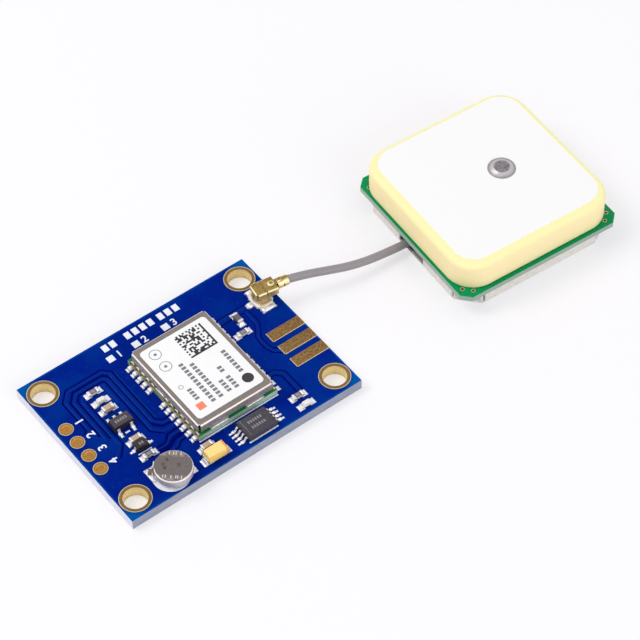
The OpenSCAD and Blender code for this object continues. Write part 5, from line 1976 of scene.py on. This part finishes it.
        self.foot_solder()
        self.solder()


@dataclass
class AntennaLead:
    """The coaxial socket, the plug and the lead.

    Attributes:
        radius: Radius of the lead, in millimetres.
        route: Points of the lead, in millimetres.
    """

    radius: float = 0.565
    route: tuple[Triple, ...] = (
        (18.124, 5.281, 3.385),
        (19.412, 5.1, 3.385),
        (22.262, 4.3, 3.137),
        (25.062, 3.3, 2.847),
        (27.762, 2.6, 2.35),
        (30.762, 2.2, 1.833),
        (34.162, 1.95, 1.46),
        (36.562, 1.8, 1.315),
        (38.562, 1.65, 1.419),
        (40.562, 1.52, 1.626),
    )

    def socket_solder(self) -> None:
        """Solder over the socket's legs and the tail of its pin."""
        low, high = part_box("socket_base")
        centre = (low + high) / 2
        places = []
        for x, y, size in (
            (0.0, -1.72, (2.2, 0.95, 0.34)), (0.0, 1.72, (2.2, 0.95, 0.34)), (-1.75, 0.0, (0.95, 0.95, 0.42))
        ):
            places.append(Place(Vector((centre.x + x * MM, centre.y + y * MM, low.z)), Vector(size) * MM))
        Repeater.spread("socket_solder", Shapes.mound(), places, Paint.SOLDER)

    def lead(self) -> None:
        """Sweeps the lead and gives it a map along and around."""
        values = {"Radius": self.radius * MM, "Finish": Paint.JACKET.material}
        piece = Repeater.path("coax_lead", [self.route], "round_lead", values)
        mesh = piece.data
        uv = mesh.uv_layers.new(name="lead_map")
        along, around = mesh.attributes["along"].data, mesh.attributes["around"].data
        for polygon in mesh.polygons:
            turns = [around[mesh.loops[i].vertex_index].value for i in polygon.loop_indices]
            wraps = max(turns) - min(turns) > 0.5
            for i, turn in zip(polygon.loop_indices, turns):
                share = turn + 1.0 if wraps and turn < 0.5 else turn
                uv.data[i].uv = (along[mesh.loops[i].vertex_index].value, share)
        Bench.fit(piece, Paint.JACKET, ["antenna_lead"])

    def build(self) -> None:
        """Dresses the socket, the plug and the lead."""
        Bench.soften("socket_base", "socket_block", Paint.CREAM, 0.06)
        Bench.soften("socket_shell", "socket_ring", Paint.SOCKET_GOLD, 0.03)
        Bench.coat(Paint.TIN, "socket_pin")
        Bench.coat(Paint.GOLD, "plug_contact")
        Bench.coat(Paint.CREAM, "plug_insulator")
        Bench.soften("plug_shell", "plug_cap", Paint.PLUG_GOLD, 0.04)
        Bench.coat(Paint.COPPER, "lead_braid", "lead_core")
        Bench.coat(Paint.SOLDER, "lead_solder")
        self.socket_solder()
        self.lead()


@dataclass
class PatchAntenna:
    """The ceramic patch antenna on its shielded board.

    Attributes:
        rivet: Radius of the feed's flat top, of its slope's middle and of its foot, in millimetres.
        rivet_angle: Angle up to which the feed is shaded smooth, in degrees.
        stem: Radius of the feed pin.
        turn: The antenna's turn about Z, in degrees.
        plate: Distance, soldered width and soldered height of the tray's corner plates.
        vias: Places of a corner's small holes from the antenna's centre.
        via_rim: Radius, width and height of a small hole's rim.
        via_shade: Radius, upper face and lower face of the dark disc of painted shade in each small hole, from the
            board's face.
    """

    rivet: Triple = (1.05, 1.45, 1.9)
    rivet_angle: float = 50.0
    stem: float = 0.45
    turn: float = -3.7
    plate: Triple = (14.991, 3.7, 2.1)
    vias: tuple[Point, ...] = ((11.7, 10.7), (10.7, 11.7))
    via_rim: Triple = (0.24, 0.09, 0.006)
    via_shade: Triple = (0.21, -0.03, -0.1)

    def corners(self) -> list[tuple[Vector, Vector, Vector]]:
        """The antenna's centre with each corner's direction out and its direction along the corner plate.

        Returns:
            Centre, direction out and direction along the corner plate, corner by corner.
        """
        low, high = (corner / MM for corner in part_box("antenna_shield"))
        centre = Vector(((low.x + high.x) / 2, (low.y + high.y) / 2, 0.0))
        frames = []
        for quarter in range(4):
            angle = math.radians(45 + 90 * quarter + self.turn)
            out = Vector((math.cos(angle), math.sin(angle), 0.0))
            frames.append((centre, out, Vector((-out.y, out.x, 0.0))))
        return frames

    def corner_lumps(self) -> None:
        """Lays lumpy solder on the tray's corner plates."""
        away, width, height = self.plate
        chance = random.Random(11)
        bm = bmesh.new()
        for centre, out, side in self.corners():
            foot = centre + out * away - side * (width / 2) + Vector((0.0, 0.0, 0.2))
            Shapes.lumps(bm, foot, side * width, out, height, chance)
        Bench.piece("corner_lumps", bm, Paint.LUMPY, smooth=SMOOTH_ANGLE)

    def via_plating(self) -> None:
        """Rings the small holes at the antenna board's corners and puts a dark disc of painted shade in each."""
        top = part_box("antenna_board")[1].z / MM
        rim, line, rise = self.via_rim
        hole, upper, lower = self.via_shade
        rims, hole_shades = bmesh.new(), bmesh.new()
        for centre, out, side in self.corners():
            ahead, left = (out - side) / math.sqrt(2), (out + side) / math.sqrt(2)
            for x, y in self.vias:
                spot = centre + ahead * x + left * y
                Shapes.hoop(rims, spot.x, spot.y, rim, line, top - SINK, top + rise)
                Shapes.disc(hole_shades, spot.x, spot.y, hole, top + lower, top + upper)
        Bench.piece("via_rims", rims, Paint.RIM_GOLD)
        # A dark disc in each hole: painted shade, in the diode's dark finish.
        Bench.piece("via_plugs", hole_shades, Paint.DARK_CASE)

    def feed(self) -> None:
        """Turns the feed: a flat rivet with solder that slopes down to the electrode."""
        low, high = (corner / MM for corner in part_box("feed_pin"))
        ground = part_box("electrode")[1].z / MM
        centre = (low + high) / 2
        rise = high.z - ground
        top, middle, foot = self.rivet
        profile = [
            (0.0, high.z), (top * 0.6, high.z - 0.005), (top, high.z - 0.03), (top + 0.12, high.z - 0.1),
            (middle, ground + rise * 0.42), (middle + 0.25, ground + rise * 0.16), (foot, ground + SINK),
            (foot, ground - SINK), (self.stem, ground - SINK), (self.stem, low.z), (0.0, low.z),
        ]
        bm = bmesh.new()
        Shapes.lathe(bm, centre.x, centre.y, profile)
        Bench.piece("feed_rivet", bm, Paint.FEED, ["feed_pin", "feed_solder"], self.rivet_angle)

    def build(self) -> None:
        """Dresses the antenna."""
        Bench.soften("antenna_board", "antenna_base", Paint.ANTENNA_GREEN, 0.04, 2)
        Bench.soften("antenna_shield", "antenna_tray", Paint.TRAY, 0.06)
        Bench.soften("corner_solder", "tray_corner_solder", Paint.LUMPY, 0.03, 2)
        Bench.soften("ceramic_block", "ceramic_patch", Paint.CERAMIC, 0.12)
        Bench.coat(Paint.SILVER, "electrode")
        self.feed()
        self.corner_lumps()
        self.via_plating()
        Bench.coat(Paint.SILVER, "ground_layer")
        Bench.coat(Paint.CASE, "amplifier_chip")
        Bench.coat(Paint.GOLD, "antenna_filter")
        Bench.coat(Paint.TAN, "amplifier_chips")


@dataclass
class Studio:
    """Pale floor, soft light and the camera.

    Attributes:
        eye: The camera's place, in millimetres.
        right: The picture's right in the object's frame.
        up: The picture's up in the object's frame.
        lens: Focal length on a 36 mm sensor, in millimetres.
        sky: Light level of the surroundings.
        key_power: Power of the main lamp, in watts.
        fill_power: Power of the lamp in front.
        air: Colour of the light from all round.
        card: Colour of the floor.
        glow: Colour of the floor's own light.
        glow_share: Share of that light where the floor is seen.
        aim: The point that the lamps look at, in metres.
    """

    eye: Triple = (-107.893, -172.441, 263.215)
    right: Triple = (0.793558, -0.608405, -0.010445)
    up: Triple = (0.4771, 0.6115, 0.6313)
    lens: float = 147.11
    sky: float = 0.722
    key_power: float = 1.37
    fill_power: float = 0.88
    air: tuple[float, ...] = (0.955, 0.96, 0.985, 1.0)
    card: tuple[float, ...] = (0.95, 0.94, 0.98, 1.0)
    glow: tuple[float, ...] = (1.0, 0.99, 1.0, 1.0)
    glow_share: float = 0.5
    aim: Triple = (0.02, 0.0, 0.0)

    def camera(self) -> None:
        """Sets the camera at the photograph's place."""
        data = bpy.data.cameras.new("camera")
        data.lens = self.lens
        data.sensor_width = 36.0
        data.clip_start, data.clip_end = 0.01, 20.0
        camera = Bench.link("camera", data)
        right, up = Vector(self.right).normalized(), Vector(self.up).normalized()
        back = right.cross(up)
        turn = Matrix((right, up, back)).transposed().to_4x4()
        camera.matrix_world = Matrix.Translation(Vector(self.eye) * MM) @ turn
        bpy.context.scene.camera = camera

    @staticmethod
    def seen(wiring: Wiring) -> Socket:
        """1 for rays from the camera, from gloss and through glass.

        Args:
            wiring: Wiring of the floor or of the surroundings.

        Returns:
            The value.
        """
        path = wiring.add("ShaderNodeLightPath")
        direct = wiring.math("MAXIMUM", path.outputs["Is Camera Ray"], path.outputs["Is Glossy Ray"])
        return wiring.math("MAXIMUM", direct, path.outputs["Is Transmission Ray"])

    def surroundings(self) -> None:
        """Even light from all round, white where it is seen."""
        world = bpy.data.worlds.new("surroundings")
        world.use_nodes = True
        bpy.context.scene.world = world
        wiring = Wiring(world.node_tree)
        output = next(node for node in world.node_tree.nodes if node.type == "OUTPUT_WORLD")
        light = world.node_tree.nodes["Background"]
        light.inputs["Color"].default_value = self.air
        light.inputs["Strength"].default_value = self.sky
        white = wiring.add("ShaderNodeBackground", {"Color": (1.0, 1.0, 1.0, 1.0), "Strength": 1.0})
        mix = wiring.add("ShaderNodeMixShader", {0: self.seen(wiring), 1: light.outputs[0], 2: white.outputs[0]})
        wiring.put(output.inputs["Surface"], mix.outputs[0])

    def floor(self) -> None:
        """Pale floor that keeps the shadow and is white where it is lit."""
        bm = bmesh.new()
        bmesh.ops.create_circle(bm, cap_ends=True, segments=96, radius=3.0)
        bmesh.ops.translate(bm, verts=bm.verts, vec=(0, 0, -0.02 * MM))
        floor = Bench.from_bmesh("floor", bm)
        material = bpy.data.materials.new("floor_card")
        material.use_nodes = True
        wiring = Wiring(material.node_tree)
        card = material.node_tree.nodes["Principled BSDF"]
        card.inputs["Base Color"].default_value = self.card
        card.inputs["Roughness"].default_value = 0.9
        card.inputs["Specular IOR Level"].default_value = 0.0
        glow = wiring.add("ShaderNodeEmission", {"Color": self.glow, "Strength": 1.0})
        share = wiring.math("MULTIPLY", self.seen(wiring), self.glow_share)
        mix = wiring.add("ShaderNodeMixShader", {0: share, 1: card.outputs[0], 2: glow.outputs[0]})
        output = next(node for node in material.node_tree.nodes if node.type == "OUTPUT_MATERIAL")
        wiring.put(output.inputs["Surface"], mix.outputs[0])
        floor.data.materials.append(material)

    @staticmethod
    def lamp(name: str, at: Triple, target: Triple, side: float, power: float, tint: Triple) -> None:
        """Hangs a square soft lamp that looks at a point.

        Args:
            name: The lamp's name.
            at: Its place, in metres.
            target: The point that it looks at, in metres.
            side: Its side, in metres.
            power: Its power, in watts.
            tint: Its colour.
        """
        data = bpy.data.lights.new(name, "AREA")
        data.shape = "SQUARE"
        data.size = side
        data.energy = power
        data.color = tint
        lamp = Bench.link(name, data)
        look = Vector(target) - Vector(at)
        lamp.matrix_world = Matrix.Translation(Vector(at)) @ look.to_track_quat("-Z", "Y").to_matrix().to_4x4()

    def build(self) -> None:
        """Sets up the stage."""
        scene = bpy.context.scene
        scene.view_settings.view_transform = "Standard"
        self.camera()
        self.surroundings()
        self.floor()
        self.lamp("fill_lamp", (0.12, -0.55, 0.26), self.aim, 0.4, self.fill_power, (1.0, 1.0, 1.0))
        self.lamp("key_lamp", (-0.28, 0.26, 0.5), self.aim, 0.3, self.key_power, (1.0, 0.97, 0.93))


def main() -> None:
    """Builds the stage and every sub-assembly."""
    logging.basicConfig(level=logging.INFO, format="%(name)s %(message)s")
    GroupMaker().build()
    NodeTreeMaker().build()
    builders: Sequence[Callable[[], None]] = (
        Studio().build,
        AntennaLead().build,
        MainBoard().build,
        Receiver().build,
        SmallParts().build,
        PatchAntenna().build,
    )
    for build in builders:
        build()


if __name__ == "__main__":
    main()
